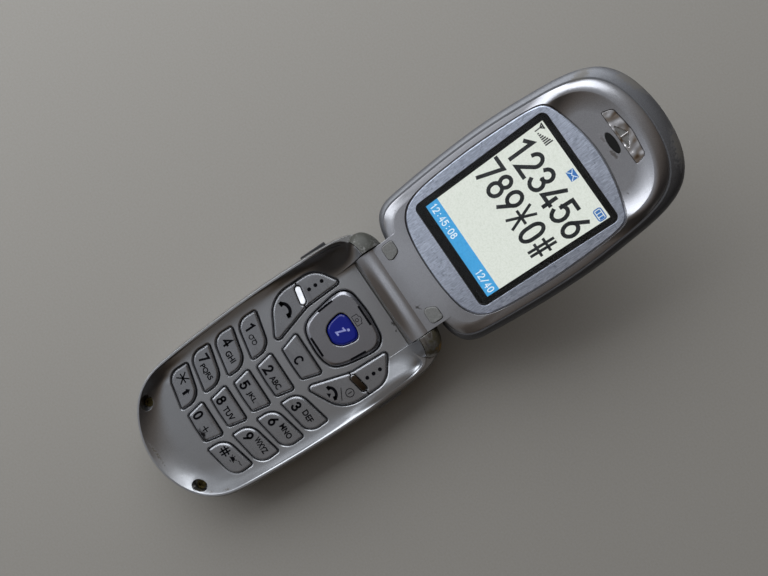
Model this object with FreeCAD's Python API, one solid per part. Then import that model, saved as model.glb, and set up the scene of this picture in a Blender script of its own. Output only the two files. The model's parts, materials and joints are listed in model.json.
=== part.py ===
import FreeCAD, Part
import math
import os

# Folding mobile phone, lying on its back with the lid open at its stop.
# Lengths are in millimetres. The base is drawn in place with the hinge axis as X
# axis: +X to the phone's right, -Y towards the chin, +Z out of the keypad.
# The lid is drawn flat, as if opened to 180 degrees, with +Y towards its tip and
# +Z out of the screen, and is then turned to its stop. At the end all is moved,
# so that the origin is the centre of the battery's flat back.

# Hinge
AXIS_HEIGHT = 13.5
OPEN_ANGLE = 160.0
BARREL_RADIUS = 3.6
BARREL_HALF = 13.2
BARREL_GAP = 0.3
KNUCKLE_RADIUS = 4.7
DOME_START = 13.0
DOME_LENGTH = 6.8
PIN_RADIUS = 2.0
PIN_SEAT = 3.6
PIN_REACH = 5.6
RUNNING_FIT = 0.05
CARTRIDGE_RADIUS = 2.6
CARTRIDGE_LENGTH = 12.4
SEAT_GAP = 0.05

# Base outline seen from the front: half-width and place along the phone
BASE_OUTLINE = [
    (0, -79.4), (6.8, -78.4), (11.8, -76.3), (16.6, -72.4), (19.0, -68.2), (20.4, -61.0),
    (21.3, -48.0), (21.9, -34.0), (22.0, -24.0), (21.8, -15.0), (21.4, -7.0),
    (20.4, -1.4), (18.4, 2.2), (14.2, 4.5), (0, 4.7),
]
# Rear housing: height, half-width, chin end, hinge end
REAR_LEVELS = [
    (-13.5, 16.6, -73.5, -1.0),
    (-13.2, 18.0, -75.2, 0.6),
    (-12.2, 19.8, -77.0, 2.0),
    (-10.5, 21.4, -78.4, 3.1),
    (-8.0, 22.6, -79.5, 3.9),
    (-4.5, 23.1, -79.9, 4.2),
    (-1.3, 22.35, -79.6, 4.2),
]
# Front housing: rim line, with the shoulders' crests at the hinge end
RIM_OUTLINE = [
    (0, -79.4), (6.8, -78.4), (11.8, -76.3), (16.6, -72.4), (19.0, -68.2), (20.4, -61.0),
    (21.3, -48.0), (21.9, -34.0), (22.0, -24.0), (21.8, -15.0), (21.3, -8.0),
    (19.9, -3.4), (17.0, -1.7), (13.0, -1.2), (0, -1.1),
]
RIM_Z = -0.2
SPLIT_Z = -1.1
SPLIT_GAP = 0.15
RIM_WIDTH = 0.45
FLOOR_Z = -3.4
FRONT_WALL = 1.2
# Flat floor of the dish, inside which its walls begin
FLOOR_OUTLINE = [
    (0, -72.0), (6.5, -71.4), (12.0, -69.3), (16.2, -65.5), (18.3, -59.5),
    (19.0, -48.0), (19.2, -34.0), (19.2, -20.0), (18.6, -8.0), (17.0, 3.0), (0, 4.0),
]
RAMP_START = -11.0
RAMP_POWER = 2.2
WALL_POWER = 2.0
WALL_LIMIT = 1.6
BLEND_POWER = 3.0
# Heights of the dish are worked out at this many columns and rows, past the rim
# by these distances at the sides, the chin and the hinge
GRID_COLUMNS = 33
GRID_ROWS = 57
GRID_MARGINS = (2.0, 2.6, 1.7)
# Plate below the rim band, and the end of its middle part at the hinge
PLATE_INSET = 0.8
PLATE_HEEL = -4.4
NEST_GAP = 0.15
OPENING_EDGE = 0.28
NECK_POCKET_START = -11.2

# Rear housing inside
CAVITY_INSET = 1.45
CAVITY_FLOOR_Z = -8.0
BAY_CEILING_Z = -9.2
BAY_CHIN_Y = -68.0
BAY_HEEL_Y = -10.0
CHAMBER_FLOOR_Z = -12.2
CHIN_CHAMBER = (9.6, -73.4, -69.3)
HEEL_CHAMBER = (11.6, -8.8, -1.6)
HEEL_CHAMBER_FLOOR_Z = -11.3

# Battery and its latch
BATTERY_TOP_GAP = 0.15
BATTERY_END_GAP = 0.25
LATCH_HALF_WIDTH = 5.0
LATCH_LENGTH = 3.6
LATCH_TRAVEL = 1.5
LATCH_Y = -8.3
LATCH_DEPTH = 1.2
LATCH_SINK = 0.1
LATCH_STEM_HALF = 1.6
LATCH_STEM_LENGTH = 1.6
LATCH_PLATE_THICKNESS = 0.7
LATCH_PLATE_HALF = 4.0
LATCH_GAP = 0.15

# Keypad
KEY_TOP_Z = -3.0
KEY_GAP = 0.34
KEY_EDGE = 0.35
FLANGE_OVERLAP = 0.12
FLANGE_THICKNESS = 0.35
FLANGE_GAP = 0.15
KEY_TRAVEL = 0.35
MAT_CLEARANCE = 0.1
MAT_THICKNESS = 0.3
DOME_SHEET_THICKNESS = 0.15
BOARD_THICKNESS = 0.8
# Main board and key mat: distance from the rim line at the sides and the chin
BOARD_INSETS = (2.3, 3.0)
BOARD_HEEL = -5.2
MAT_INSETS = (2.6, 11.4)
MAT_HEEL = -7.6

# Outlines with straight sides: each corner is (x, y, radius)
# Number keys: left column's top key, and where its sides lie in each row
ROW_PITCH = 7.95
LEFT_KEY = [(-18.5, -34.0, 0.8), (-6.9, -36.75, 4.6), (-6.9, -42.85, 0.75), (-18.75, -40.65, 4.0)]
LEFT_KEY_SIDES = (-18.75, -6.9)
ROW_SIDES = ((-18.75, -6.9), (-18.75, -6.87), (-18.3, -6.7), (-17.2, -6.3))
MIDDLE_KEY_TOP = -37.05
MIDDLE_KEY_HEIGHT = 5.95
MIDDLE_KEY_TOP_HALF = 6.3
MIDDLE_KEY_BOTTOM_HALF = 5.1
MIDDLE_ROW_TAPER = 0.2
MIDDLE_ROW_PITCH = 7.75
CLEAR_KEY_TOP = -28.2
CLEAR_KEY_HEIGHT = 6.3
CLEAR_KEY_TOP_HALF = 7.0
CLEAR_KEY_BOTTOM_HALF = 5.1
MIDDLE_KEY_CORNER = 0.95
MIDDLE_KEY_BOW = 0.2
MIDDLE_KEY_BOW_RADIUS = 30.0

# Leaf shaped opening left of the navigation key, for a soft key and a call key
LEAF = [
    (-11.2, -9.7, 1.1), (-18.8, -14.6, 6.2), (-18.8, -28.9, 8.6),
    (-6.6, -35.5, 1.3), (-10.72, -21.7, 8.0),
]
BAR_OUTER = (-17.3, -21.05)
BAR_INNER = (-11.7, -22.15)
BAR_HALF_HEIGHT = 0.9
BAR_TOP_Z = -2.85
BAR_GAP = 0.18
LEAF_SPLIT = 0.3

# Navigation key and the key in its centre
NAV_CENTRE_Y = -17.6
NAV_OUTLINE = [
    (0, -26.95), (4.4, -26.5), (6.9, -25.2), (8.3, -22.6), (9.2, -18.2), (9.8, -13.8),
    (9.4, -11.2), (7.6, -9.45), (4.3, -8.8), (0, -8.5),
]
NAV_TOP_Z = -2.8
NAV_EDGE = 0.75
NAV_EDGE_DROP = 0.6
NAV_GAP = 0.4
NAV_SKIRT_Z = -4.6
NAV_PIVOT_HALF = 6.0
NAV_PIVOT_THICKNESS = 0.35
NAV_PIVOT_CORNER = 1.5
CENTRE_OUTLINE = [
    (0, -21.6), (2.4, -21.1), (3.8, -19.4), (4.4, -17.0), (4.3, -15.0), (2.9, -14.0), (0, -13.75),
]
CENTRE_TOP_Z = -2.95
CENTRE_GAP = 0.22
CENTRE_EDGE = 0.6
CENTRE_EDGE_DROP = 0.35

# Screws
SCREW_HEAD_RADIUS = 1.25
SCREW_HEAD_HEIGHT = 1.1
SCREW_SHANK_RADIUS = 0.7
SCREW_RECESS_DEPTH = 0.6
CHIN_SCREW = (13.4, -72.9)
CHIN_SCREW_TIP_Z = -9.6
CHIN_RECESS_HALF_LENGTH = 2.2
CHIN_RECESS_HALF_HEIGHT = 1.35
CHIN_RECESS_TURN = 32.0
CHIN_HEAD_Z = -3.3
BOSS_RADIUS = 2.5
HEEL_SCREW = (16.2, -7.4)
HEEL_HEAD_Z = -12.2
HEEL_SCREW_TIP_Z = -3.0

# Pieces on the main board
SHIELD = (16.0, -66.0, -38.5)
SIM_HOLDER = (12.8, -36.0, -20.0)
SIM_WINDOW_MARGIN = 1.4
CONTACTS = (5.0, -17.4, -13.4)
CONTACTS_BOTTOM_Z = -9.1
CONNECTOR_HALF = 9.0
CONNECTOR_FACE_Y = -77.8
CONNECTOR_DEPTH = 4.2
CONNECTOR_SINK = 0.5
CONNECTOR_HEIGHT = 2.4
CONNECTOR_WALL = 0.35
CONNECTOR_MOUTH_DEPTH = 2.6
MIC_RADIUS = 2.0
MIC_HEIGHT = 1.2
MIC_Y = -74.2
MOTOR_RADIUS = 1.8
MOTOR_LENGTH = 11.0
MOTOR_X = -9.0
MOTOR_Y = -71.3
ANTENNA = (10.5, -8.4, -2.2)
ANTENNA_Z = (-9.6, -8.3)

# Sides of the base
ROCKER_Y = -12.0
ROCKER_LENGTH = 8.0
ROCKER_HEIGHT = 2.4
ROCKER_Z = -4.9
ROCKER_PROUD = 0.35
ROCKER_DEPTH = 1.1
ROCKER_GAP = 0.2
COVER_Y = (-21.0, -13.5)
COVER_HEIGHT = 4.4
COVER_Z = -6.2
COVER_PROUD = 0.45
COVER_DEPTH = 1.0
COVER_GAP = 0.2
JACK_RADIUS = 1.55
JACK_BORE_RADIUS = 1.2
JACK_LENGTH = 2.7
JACK_END_WALL = 0.5
WALL_X = 23.1

# Lid outline seen from the inner side: half-width and distance from the hinge axis
LID_OUTLINE = [
    (0, 5.7), (10.0, 5.7), (14.4, 5.9), (17.8, 6.8), (20.4, 8.5), (21.9, 11.2), (22.5, 15.4),
    (22.9, 24.0), (23.1, 35.0), (22.7, 47.0), (21.5, 58.0), (19.8, 67.2), (16.6, 73.4), (11.4, 76.9),
    (5.5, 78.4), (0, 78.8),
]
# Outer shell: height, half-width, hinge end, tip end
SHELL_LEVELS = [
    (0.15, 21.5, 7.3, 75.7),
    (-0.6, 22.5, 6.5, 77.5),
    (-1.9, 23.1, 6.0, 78.8),
    (-4.2, 22.9, 6.0, 78.5),
    (-6.6, 21.4, 6.4, 76.8),
    (-8.3, 18.4, 8.6, 73.2),
    (-9.0, 14.6, 12.4, 68.0),
]
SHELL_CAVITY_LEVELS = [
    (0.4, 20.1, 8.8, 74.2),
    (-4.2, 20.6, 8.2, 75.6),
    (-6.4, 18.8, 10.0, 73.0),
    (-7.8, 14.6, 14.0, 68.0),
]
# Inner housing: its edge rises in a round pillow to the face with the screen
PILLOW_LEVELS = [
    (0.3, 20.95, 7.3, 75.4),
    (0.8, 20.65, 7.6, 75.0),
    (1.4, 20.05, 8.2, 74.2),
    (1.9, 19.3, 9.0, 73.1),
    (2.2, 18.4, 10.2, 71.6),
]
INNER_FACE_Z = 2.2
INNER_WALL = 1.2
INNER_NEST = (19.9, 9.0, 74.0)
INNER_NEST_BOTTOM_Z = -1.2
INNER_NEST_OVERLAP = 0.1
INNER_CAVITY = (18.7, 10.2, 72.6)
NECK_HALF = 13.2
NECK_GAP = 0.15
NECK_UNDERSIDE_Z = -3.6
NECK_END = 10.4
NECK_POCKET = (9.0, 5.4, 3.2)

# Screen
BEZEL_OUTLINE = [
    (0, 12.4), (5.2, 12.55), (10.4, 13.3), (14.2, 14.6), (16.8, 16.9), (18.4, 21.0),
    (19.15, 29.5), (19.2, 39.5), (18.6, 50.0), (17.9, 56.0), (16.7, 58.9), (14.0, 60.3),
    (6.7, 62.1), (0, 62.7),
]
BEZEL_GAP = 0.3
BEZEL_THICKNESS = 0.8
BEZEL_EDGE = 0.25
WINDOW_HALF = 15.75
WINDOW_S = (18.5, 58.0)
WINDOW_CORNER = 1.8
WINDOW_GAP = 0.08
WINDOW_THICKNESS = 0.7
LCD_HALF = 14.0
LCD_S = (21.2, 56.3)
LCD_BORDER = 1.1
LCD_THICKNESS = 1.2
BACKLIGHT_THICKNESS = 1.3
BACKLIGHT_LIP = 0.5
LID_BOARD = (15.0, 16.0, 62.3)
LID_BOARD_THICKNESS = 0.8

# Earpiece
SLOT_BOTTOM = 67.6
SLOT_OUTLINE = [
    (-7.3, SLOT_BOTTOM, 0.4), (7.3, SLOT_BOTTOM, 0.4), (6.4, 70.2, 1.2), (0, 71.0, 12.0), (-6.4, 70.2, 1.2),
]
SLOT_GAP = 0.08
TRIM_THICKNESS = 0.7
TRIM_SINK = 0.45
TRIM_MOUTH = 3.5
TRIM_MOUTH_HEIGHT = 2.0
TRIM_MOUTH_RISE = 0.5
TRIM_RIB = 0.35
EARPIECE_RADIUS = 4.6
EARPIECE_THICKNESS = 2.4
EARPIECE_S = 67.6
EAR_PAD_S = 66.0
EAR_PAD_HALF = (2.8, 0.85)
EAR_PAD_THICKNESS = 0.8
EAR_PAD_SINK = 0.6
EAR_PAD_PROUD = 0.2
EAR_DISH_DEPTH = 0.55
EAR_DISH_HALF = (16.8, 9.6)
EAR_DISH_S = 62.6

# Rubber pads over the screws in the neck
PAD_OUTLINE = [(-12.35, 8.8, 0.8), (-8.6, 8.8, 1.6), (-7.15, 4.8, 1.3), (-12.35, 4.8, 1.3)]
PAD_GAP = 0.1
PAD_DEPTH = 0.9
PAD_PROUD = 0.35
LID_SCREW = (10.1, 7.2)
LID_SCREW_TIP_Z = -5.6
SHELL_BOSS_RADIUS = 2.2

# Outer side of the lid
SUB_WINDOW = (12.5, 22.0, 39.0)
SUB_WINDOW_CORNER = 3.0
SUB_WINDOW_THICKNESS = 0.8
SUB_PANEL_MARGIN = 1.4
SUB_PANEL_THICKNESS = 1.5
CAMERA_S = 50.5
CAMERA_RING_RADIUS = 4.2
CAMERA_LENS_RADIUS = 2.6
CAMERA_RING_HEIGHT = 1.6
CAMERA_PROUD = 0.35
CAMERA_MODULE_HALF = 3.6
CAMERA_MODULE_THICKNESS = 3.6
FLEX_HALF = 3.2
FLEX_THICKNESS = 0.3
FLEX_Z = -1.5
FLEX_SLOT_GAP = 0.2
FLEX_START = 2.6

# Worked out from the values above
REST_TILT = 180.0 - OPEN_ANGLE
RIM_HALF = max(x for x, y in RIM_OUTLINE)
RIM_CHIN = min(y for x, y in RIM_OUTLINE)
RIM_HEEL = max(y for x, y in RIM_OUTLINE)
KNUCKLE_START = BARREL_HALF + BARREL_GAP
TROUGH_RADIUS = BARREL_RADIUS + BARREL_GAP
PLATE_UNDERSIDE_Z = FLOOR_Z - FRONT_WALL
FLANGE_TOP_Z = PLATE_UNDERSIDE_Z - FLANGE_GAP
KEY_BOTTOM_Z = FLANGE_TOP_Z - FLANGE_THICKNESS
MAT_TOP_Z = KEY_BOTTOM_Z - KEY_TRAVEL - MAT_CLEARANCE
MAT_BOTTOM_Z = MAT_TOP_Z - MAT_THICKNESS
BOARD_TOP_Z = MAT_BOTTOM_Z - DOME_SHEET_THICKNESS
BOARD_BOTTOM_Z = BOARD_TOP_Z - BOARD_THICKNESS
CAVITY_HEEL_Y = PLATE_HEEL + NEST_GAP
BACK_Z = -AXIS_HEIGHT
ORIGIN = FreeCAD.Vector(0, (BAY_CHIN_Y + BAY_HEEL_Y) / 2, BACK_Z)
FAR = 60.0


def vector(x, y, z=0.0):
    return FreeCAD.Vector(x, y, z)


def box(x, y, z):
    """Box from three (low, high) pairs."""
    corner = vector(min(x), min(y), min(z))
    return Part.makeBox(abs(x[1] - x[0]), abs(y[1] - y[0]), abs(z[1] - z[0]), corner)


def centred_box(half, y0, y1, z0, z1):
    return box((-half, half), (y0, y1), (z0, z1))


def x_cylinder(radius, x0, x1, y=0.0, z=0.0):
    return Part.makeCylinder(radius, x1 - x0, vector(x0, y, z), vector(1, 0, 0))


def z_cylinder(radius, x, y, z0, z1):
    return Part.makeCylinder(radius, z1 - z0, vector(x, y, z0), vector(0, 0, 1))


def rounded(corners):
    """Closed outline of straight sides, with an arc of its own radius at each corner."""
    arcs = []
    count = len(corners)
    for i, (x, y, radius) in enumerate(corners):
        here = vector(x, y)
        before = (vector(*corners[i - 1][:2]) - here).normalize()
        after = (vector(*corners[(i + 1) % count][:2]) - here).normalize()
        half_angle = before.getAngle(after) / 2
        reach = radius / math.tan(half_angle)
        centre = here + (before + after).normalize() * (radius / math.sin(half_angle))
        middle = centre + (here - centre).normalize() * radius
        arcs.append((here + before * reach, middle, here + after * reach))
    edges = []
    for i, arc in enumerate(arcs):
        edges.append(Part.Arc(*arc).toShape())
        edges.append(Part.makeLine(arc[2], arcs[(i + 1) % count][0]))
    return Part.Wire(edges)


def mirror_points(points):
    return [(-x, y) for x, y in reversed(points)]


def mirror_corners(corners):
    return [(-x, y, radius) for x, y, radius in reversed(corners)]


def prism(wire, z0, z1):
    face = Part.Face(wire)
    face.translate(vector(0, 0, z0))
    return face.extrude(vector(0, 0, z1 - z0))


def grown(wire, distance):
    return wire.makeOffset2D(distance)


def scaled_outline(half, z, half_width, low_end, high_end):
    """Smooth closed outline with the shape of half, at another size."""
    widest = max(x for x, y in half)
    low = min(y for x, y in half)
    high = max(y for x, y in half)
    stretch = (high_end - low_end) / (high - low)
    right = [(x * half_width / widest, low_end + (y - low) * stretch) for x, y in half]
    ring = right + mirror_points(right)[1:-1]
    curve = Part.BSplineCurve()
    curve.interpolate(Points=[vector(x, y, z) for x, y in ring], PeriodicFlag=True)
    return Part.Wire([curve.toShape()])


def stack(half, levels):
    """Smooth solid through scaled outlines at several heights."""
    wires = [scaled_outline(half, *level) for level in levels]
    return Part.makeLoft(wires, True, False)


def inset_outline(half, inset, z=0.0):
    half_width, low_end, high_end = extent(half)
    return scaled_outline(half, z, half_width - inset, low_end + inset, high_end - inset)


def bevelled_cap(half, inset, z0, z1, edge, drop):
    """Cap inside a smooth outline, with a straight bevel round its top."""
    wires = [
        inset_outline(half, inset, z0),
        inset_outline(half, inset, z1 - drop),
        inset_outline(half, inset + edge, z1),
    ]
    return Part.makeLoft(wires, True, True)


def slab(half, half_width, low_end, high_end, z0, z1):
    return prism(scaled_outline(half, 0.0, half_width, low_end, high_end), z0, z1)


def mirrored_x(shape):
    return shape.mirror(vector(0, 0, 0), vector(1, 0, 0))


def edges_at(shape, z):
    return [e for e in shape.Edges if abs(e.BoundBox.ZMin - z) < 0.001 and abs(e.BoundBox.ZMax - z) < 0.001]


def upright_corners(shape):
    """Edges that stand upright along Z."""
    found = []
    for edge in shape.Edges:
        bounds = edge.BoundBox
        if bounds.ZLength > 0.1 and bounds.XLength < 0.001 and bounds.YLength < 0.001:
            found.append(edge)
    return found


def rounded_box(half, y0, y1, z0, z1, corner):
    block = centred_box(half, y0, y1, z0, z1)
    return block.makeFillet(corner, upright_corners(block))


def screw(x, y, head_z, tip_z, head_below=False):
    """Screw along Z with its head at head_z and its tip at tip_z."""
    if head_below:
        head = z_cylinder(SCREW_HEAD_RADIUS, x, y, head_z, head_z + SCREW_HEAD_HEIGHT)
        shank = z_cylinder(SCREW_SHANK_RADIUS, x, y, head_z, tip_z)
        drive = z_cylinder(SCREW_SHANK_RADIUS, x, y, head_z, head_z + SCREW_RECESS_DEPTH)
        return head.fuse(shank).cut(drive)
    head = z_cylinder(SCREW_HEAD_RADIUS, x, y, head_z - SCREW_HEAD_HEIGHT, head_z)
    shank = z_cylinder(SCREW_SHANK_RADIUS, x, y, tip_z, head_z - SCREW_RECESS_DEPTH)
    drive = z_cylinder(SCREW_SHANK_RADIUS, x, y, head_z - SCREW_RECESS_DEPTH, head_z)
    return head.cut(drive).fuse(shank)


# Dish of the base


def knuckle_radius(x):
    """Radius of the domed knuckle round the hinge axis, at a distance from the middle."""
    share = max(0.0, abs(x) - DOME_START) / DOME_LENGTH
    return KNUCKLE_RADIUS * math.sqrt(max(0.0, 1.0 - share ** 2))


def knuckle_domes():
    """Both knuckles with their domed outer ends, as far in as the barrel's ends."""
    top = vector(DOME_START, 0, 0)
    arc = Part.Ellipse(vector(0, 0, 0), DOME_LENGTH, KNUCKLE_RADIUS)
    quarter = Part.ArcOfEllipse(arc, 0, math.pi / 2).toShape()
    quarter.translate(top)
    start = vector(DOME_START, 0, 0)
    profile = Part.Wire([
        quarter,
        Part.makeLine(vector(DOME_START, KNUCKLE_RADIUS, 0), start),
        Part.makeLine(start, vector(DOME_START + DOME_LENGTH, 0, 0)),
    ])
    dome = Part.Face(profile).revolve(vector(0, 0, 0), vector(1, 0, 0), 360)
    inner = box((0, KNUCKLE_START), (-FAR, FAR), (-FAR, FAR))
    right = dome.cut(inner)
    return right.fuse(mirrored_x(right))


def wall_fraction(point, floor_face, rim_face):
    """0 on the flat floor, 1 where the wall meets the rim, more outside it."""
    if floor_face.isInside(point, 0.001, True):
        return 0.0
    spot = Part.Vertex(point)
    from_floor = floor_face.OuterWire.distToShape(spot)[0]
    from_rim = rim_face.OuterWire.distToShape(spot)[0]
    if not rim_face.isInside(point, 0.001, True):
        from_rim = -from_rim
    return min(WALL_LIMIT, from_floor / max(RIM_WIDTH, from_floor + from_rim))


def dish_height(point, floor_face, rim_face):
    """Height of the dished front: its wall, blended with the ramp up to the shoulders."""
    crest_y = RIM_OUTLINE[-2][1]
    wall = wall_fraction(point, floor_face, rim_face)
    ramp = max(0.0, (point.y - RAMP_START) / (crest_y - RAMP_START))
    wall_rise = (RIM_Z - FLOOR_Z) * wall ** WALL_POWER
    ramp_rise = (knuckle_radius(point.x) - FLOOR_Z) * ramp ** RAMP_POWER
    return FLOOR_Z + (wall_rise ** BLEND_POWER + ramp_rise ** BLEND_POWER) ** (1.0 / BLEND_POWER)


def dish_cutter():
    """Everything above the dished front: a smooth surface through computed heights."""
    floor_face = Part.Face(inset_outline(FLOOR_OUTLINE, 0.0))
    rim_face = Part.Face(inset_outline(RIM_OUTLINE, RIM_WIDTH))
    middle = (GRID_COLUMNS - 1) // 2
    side, chin_end, hinge_end = GRID_MARGINS
    chin = RIM_CHIN - chin_end
    heel = RIM_HEEL + hinge_end
    right = []
    for i in range(middle + 1):
        x = (RIM_HALF + side) * i / middle
        column = []
        for j in range(GRID_ROWS):
            y = chin + (heel - chin) * j / (GRID_ROWS - 1)
            point = vector(x, y)
            column.append(vector(x, y, dish_height(point, floor_face, rim_face)))
        right.append(column)
    left = [[vector(-p.x, p.y, p.z) for p in column] for column in reversed(right[1:])]
    surface = Part.BSplineSurface()
    surface.interpolate(left + right)
    return surface.toShape().extrude(vector(0, 0, FAR))


def extent(half):
    """Half-width and both ends of a half outline."""
    return max(x for x, y in half), min(y for x, y in half), max(y for x, y in half)


def neck_clearance(floor_z):
    """Space of the lid's neck and barrel between the knuckles, shut and open."""
    half = KNUCKLE_START
    barrel = x_cylinder(TROUGH_RADIUS, -half, half)
    shut = centred_box(half, NECK_POCKET_START, 0, floor_z, FAR)
    raised = centred_box(half, 0, FAR, NECK_UNDERSIDE_Z - BARREL_GAP, FAR)
    raised.rotate(vector(0, 0, 0), vector(1, 0, 0), REST_TILT)
    return barrel.fuse(shut).fuse(raised)


def chin_recess(x):
    """Oval recess over a chin screw, slanted with the corner."""
    turn = CHIN_RECESS_TURN if x > 0 else -CHIN_RECESS_TURN
    long_half = CHIN_RECESS_HALF_LENGTH
    oval = Part.Ellipse(vector(0, 0, 0), long_half, CHIN_RECESS_HALF_HEIGHT).toShape()
    recess = prism(Part.Wire([oval]), CHIN_HEAD_Z - SCREW_HEAD_HEIGHT, FAR)
    recess.rotate(vector(0, 0, 0), vector(0, 0, 1), turn)
    recess.translate(vector(x, CHIN_SCREW[1]))
    return recess


def hinge_bore():
    reach = KNUCKLE_START + PIN_SEAT + SEAT_GAP
    return x_cylinder(PIN_RADIUS + SEAT_GAP, -reach, reach)


def front_housing():
    rim = inset_outline(RIM_OUTLINE, 0.0)
    band = prism(rim, SPLIT_Z, RIM_Z)
    shoulders = knuckle_domes().common(prism(rim, SPLIT_Z, FAR))
    plate = prism(inset_outline(RIM_OUTLINE, PLATE_INSET), PLATE_UNDERSIDE_Z, SPLIT_Z)
    body = band.fuse(shoulders).fuse(plate)
    for opening in key_openings():
        body = body.cut(prism(opening, -FAR, FAR)).cut(opening_bevel(opening))
    body = body.cut(prism(inset_outline(NAV_OUTLINE, 0.0), -FAR, FAR)).cut(nav_bevel())
    for x in (CHIN_SCREW[0], -CHIN_SCREW[0]):
        body = body.cut(chin_recess(x))
        body = body.cut(z_cylinder(SCREW_SHANK_RADIUS + SEAT_GAP, x, CHIN_SCREW[1], -FAR, FAR))
    for x in (HEEL_SCREW[0], -HEEL_SCREW[0]):
        top = HEEL_SCREW_TIP_Z + SEAT_GAP
        body = body.cut(z_cylinder(SCREW_SHANK_RADIUS + SEAT_GAP, x, HEEL_SCREW[1], -FAR, top))
    body = body.cut(neck_clearance(FLOOR_Z))
    body = body.cut(centred_box(KNUCKLE_START, PLATE_HEEL, FAR, -FAR, FAR))
    body = body.cut(hinge_bore())
    return body.cut(dish_cutter())


def rear_envelope():
    """Body of the base below the rim line, with the rear part of the knuckles."""
    above = prism(inset_outline(RIM_OUTLINE, -SPLIT_GAP), SPLIT_Z - SPLIT_GAP, FAR)
    return stack(BASE_OUTLINE, REAR_LEVELS).fuse(knuckle_domes().cut(above))


def battery_bay(gap):
    """Space below the bay's ceiling, for the housing (gap 0) or the pack."""
    top = BAY_CEILING_Z - (BATTERY_TOP_GAP if gap else 0.0)
    return centred_box(FAR, BAY_CHIN_Y + gap, BAY_HEEL_Y - gap, -FAR, top)


def latch_pocket():
    """Recess, stem slot and inner room of the battery latch."""
    gap = LATCH_GAP
    back = LATCH_Y - gap
    front = LATCH_Y + LATCH_LENGTH + LATCH_TRAVEL + gap
    recess_top = BACK_Z + LATCH_DEPTH + gap
    recess = centred_box(LATCH_HALF_WIDTH + gap, back, front, -FAR, recess_top)
    stem_y = LATCH_Y + (LATCH_LENGTH - LATCH_STEM_LENGTH) / 2
    slot = centred_box(
        LATCH_STEM_HALF + gap,
        stem_y - gap,
        stem_y + LATCH_STEM_LENGTH + LATCH_TRAVEL + gap,
        -FAR,
        HEEL_CHAMBER_FLOOR_Z + gap,
    )
    return recess.fuse(slot)


def battery_latch():
    stem_y = LATCH_Y + (LATCH_LENGTH - LATCH_STEM_LENGTH) / 2
    plate_z = HEEL_CHAMBER_FLOOR_Z + LATCH_GAP
    front = LATCH_Y + LATCH_LENGTH
    button = centred_box(LATCH_HALF_WIDTH, LATCH_Y, front, BACK_Z + LATCH_SINK, BACK_Z + LATCH_DEPTH)
    stem = centred_box(LATCH_STEM_HALF, stem_y, stem_y + LATCH_STEM_LENGTH, BACK_Z + LATCH_DEPTH, plate_z)
    plate = centred_box(
        LATCH_PLATE_HALF, LATCH_Y, LATCH_Y + LATCH_LENGTH, plate_z, plate_z + LATCH_PLATE_THICKNESS
    )
    return button.fuse(stem).fuse(plate)


def battery_pack():
    return stack(BASE_OUTLINE, REAR_LEVELS).common(battery_bay(BATTERY_END_GAP))


def chamber(size, z0, z1):
    half, y0, y1 = size
    return centred_box(half, y0, y1, z0, z1)


def rear_housing():
    body = rear_envelope()
    cavity = slab(
        RIM_OUTLINE,
        RIM_HALF - CAVITY_INSET,
        RIM_CHIN + CAVITY_INSET,
        CAVITY_HEEL_Y,
        CAVITY_FLOOR_Z,
        FAR,
    )
    nest = prism(inset_outline(RIM_OUTLINE, PLATE_INSET - NEST_GAP), PLATE_UNDERSIDE_Z - NEST_GAP, FAR)
    body = body.cut(cavity).cut(nest)
    body = body.cut(battery_bay(0.0))
    body = body.cut(chamber(CHIN_CHAMBER, CHAMBER_FLOOR_Z, CAVITY_FLOOR_Z))
    body = body.cut(chamber(HEEL_CHAMBER, HEEL_CHAMBER_FLOOR_Z, CAVITY_FLOOR_Z))
    body = body.cut(neck_clearance(FLOOR_Z - NEST_GAP))
    body = body.cut(hinge_bore())
    body = body.cut(latch_pocket())
    half, y0, y1 = SIM_HOLDER
    margin = SIM_WINDOW_MARGIN
    body = body.cut(centred_box(half - margin, y0 + margin, y1 - margin, -FAR, CAVITY_FLOOR_Z))
    half, y0, y1 = CONTACTS
    body = body.cut(centred_box(half + NEST_GAP, y0 - NEST_GAP, y1 + NEST_GAP, -FAR, CAVITY_FLOOR_Z))
    for x in (CHIN_SCREW[0], -CHIN_SCREW[0]):
        y = CHIN_SCREW[1]
        boss = z_cylinder(BOSS_RADIUS, x, y, CAVITY_FLOOR_Z, PLATE_UNDERSIDE_Z - SEAT_GAP)
        body = body.fuse(boss)
        body = body.cut(z_cylinder(SCREW_SHANK_RADIUS + SEAT_GAP, x, y, CHIN_SCREW_TIP_Z - SEAT_GAP, FAR))
        body = body.cut(chin_recess(x))
    for x in (HEEL_SCREW[0], -HEEL_SCREW[0]):
        y = HEEL_SCREW[1]
        hole_top = HEEL_HEAD_Z + SCREW_HEAD_HEIGHT
        boss = z_cylinder(BOSS_RADIUS, x, y, CAVITY_FLOOR_Z, PLATE_UNDERSIDE_Z - SEAT_GAP)
        body = body.fuse(boss)
        body = body.cut(z_cylinder(SCREW_SHANK_RADIUS + SEAT_GAP, x, y, -FAR, FAR))
        body = body.cut(z_cylinder(SCREW_HEAD_RADIUS + SEAT_GAP, x, y, -FAR, hole_top))
    body = body.cut(connector_hole())
    body = body.cut(rocker_pocket())
    body = body.cut(cover_pocket())
    return body


def housing_screws():
    chin = [screw(x, CHIN_SCREW[1], CHIN_HEAD_Z, CHIN_SCREW_TIP_Z) for x in (CHIN_SCREW[0], -CHIN_SCREW[0])]
    heel = [
        screw(x, HEEL_SCREW[1], HEEL_HEAD_Z, HEEL_SCREW_TIP_Z, head_below=True)
        for x in (HEEL_SCREW[0], -HEEL_SCREW[0])
    ]
    return Part.makeCompound(chin + heel)


# Keypad


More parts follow.
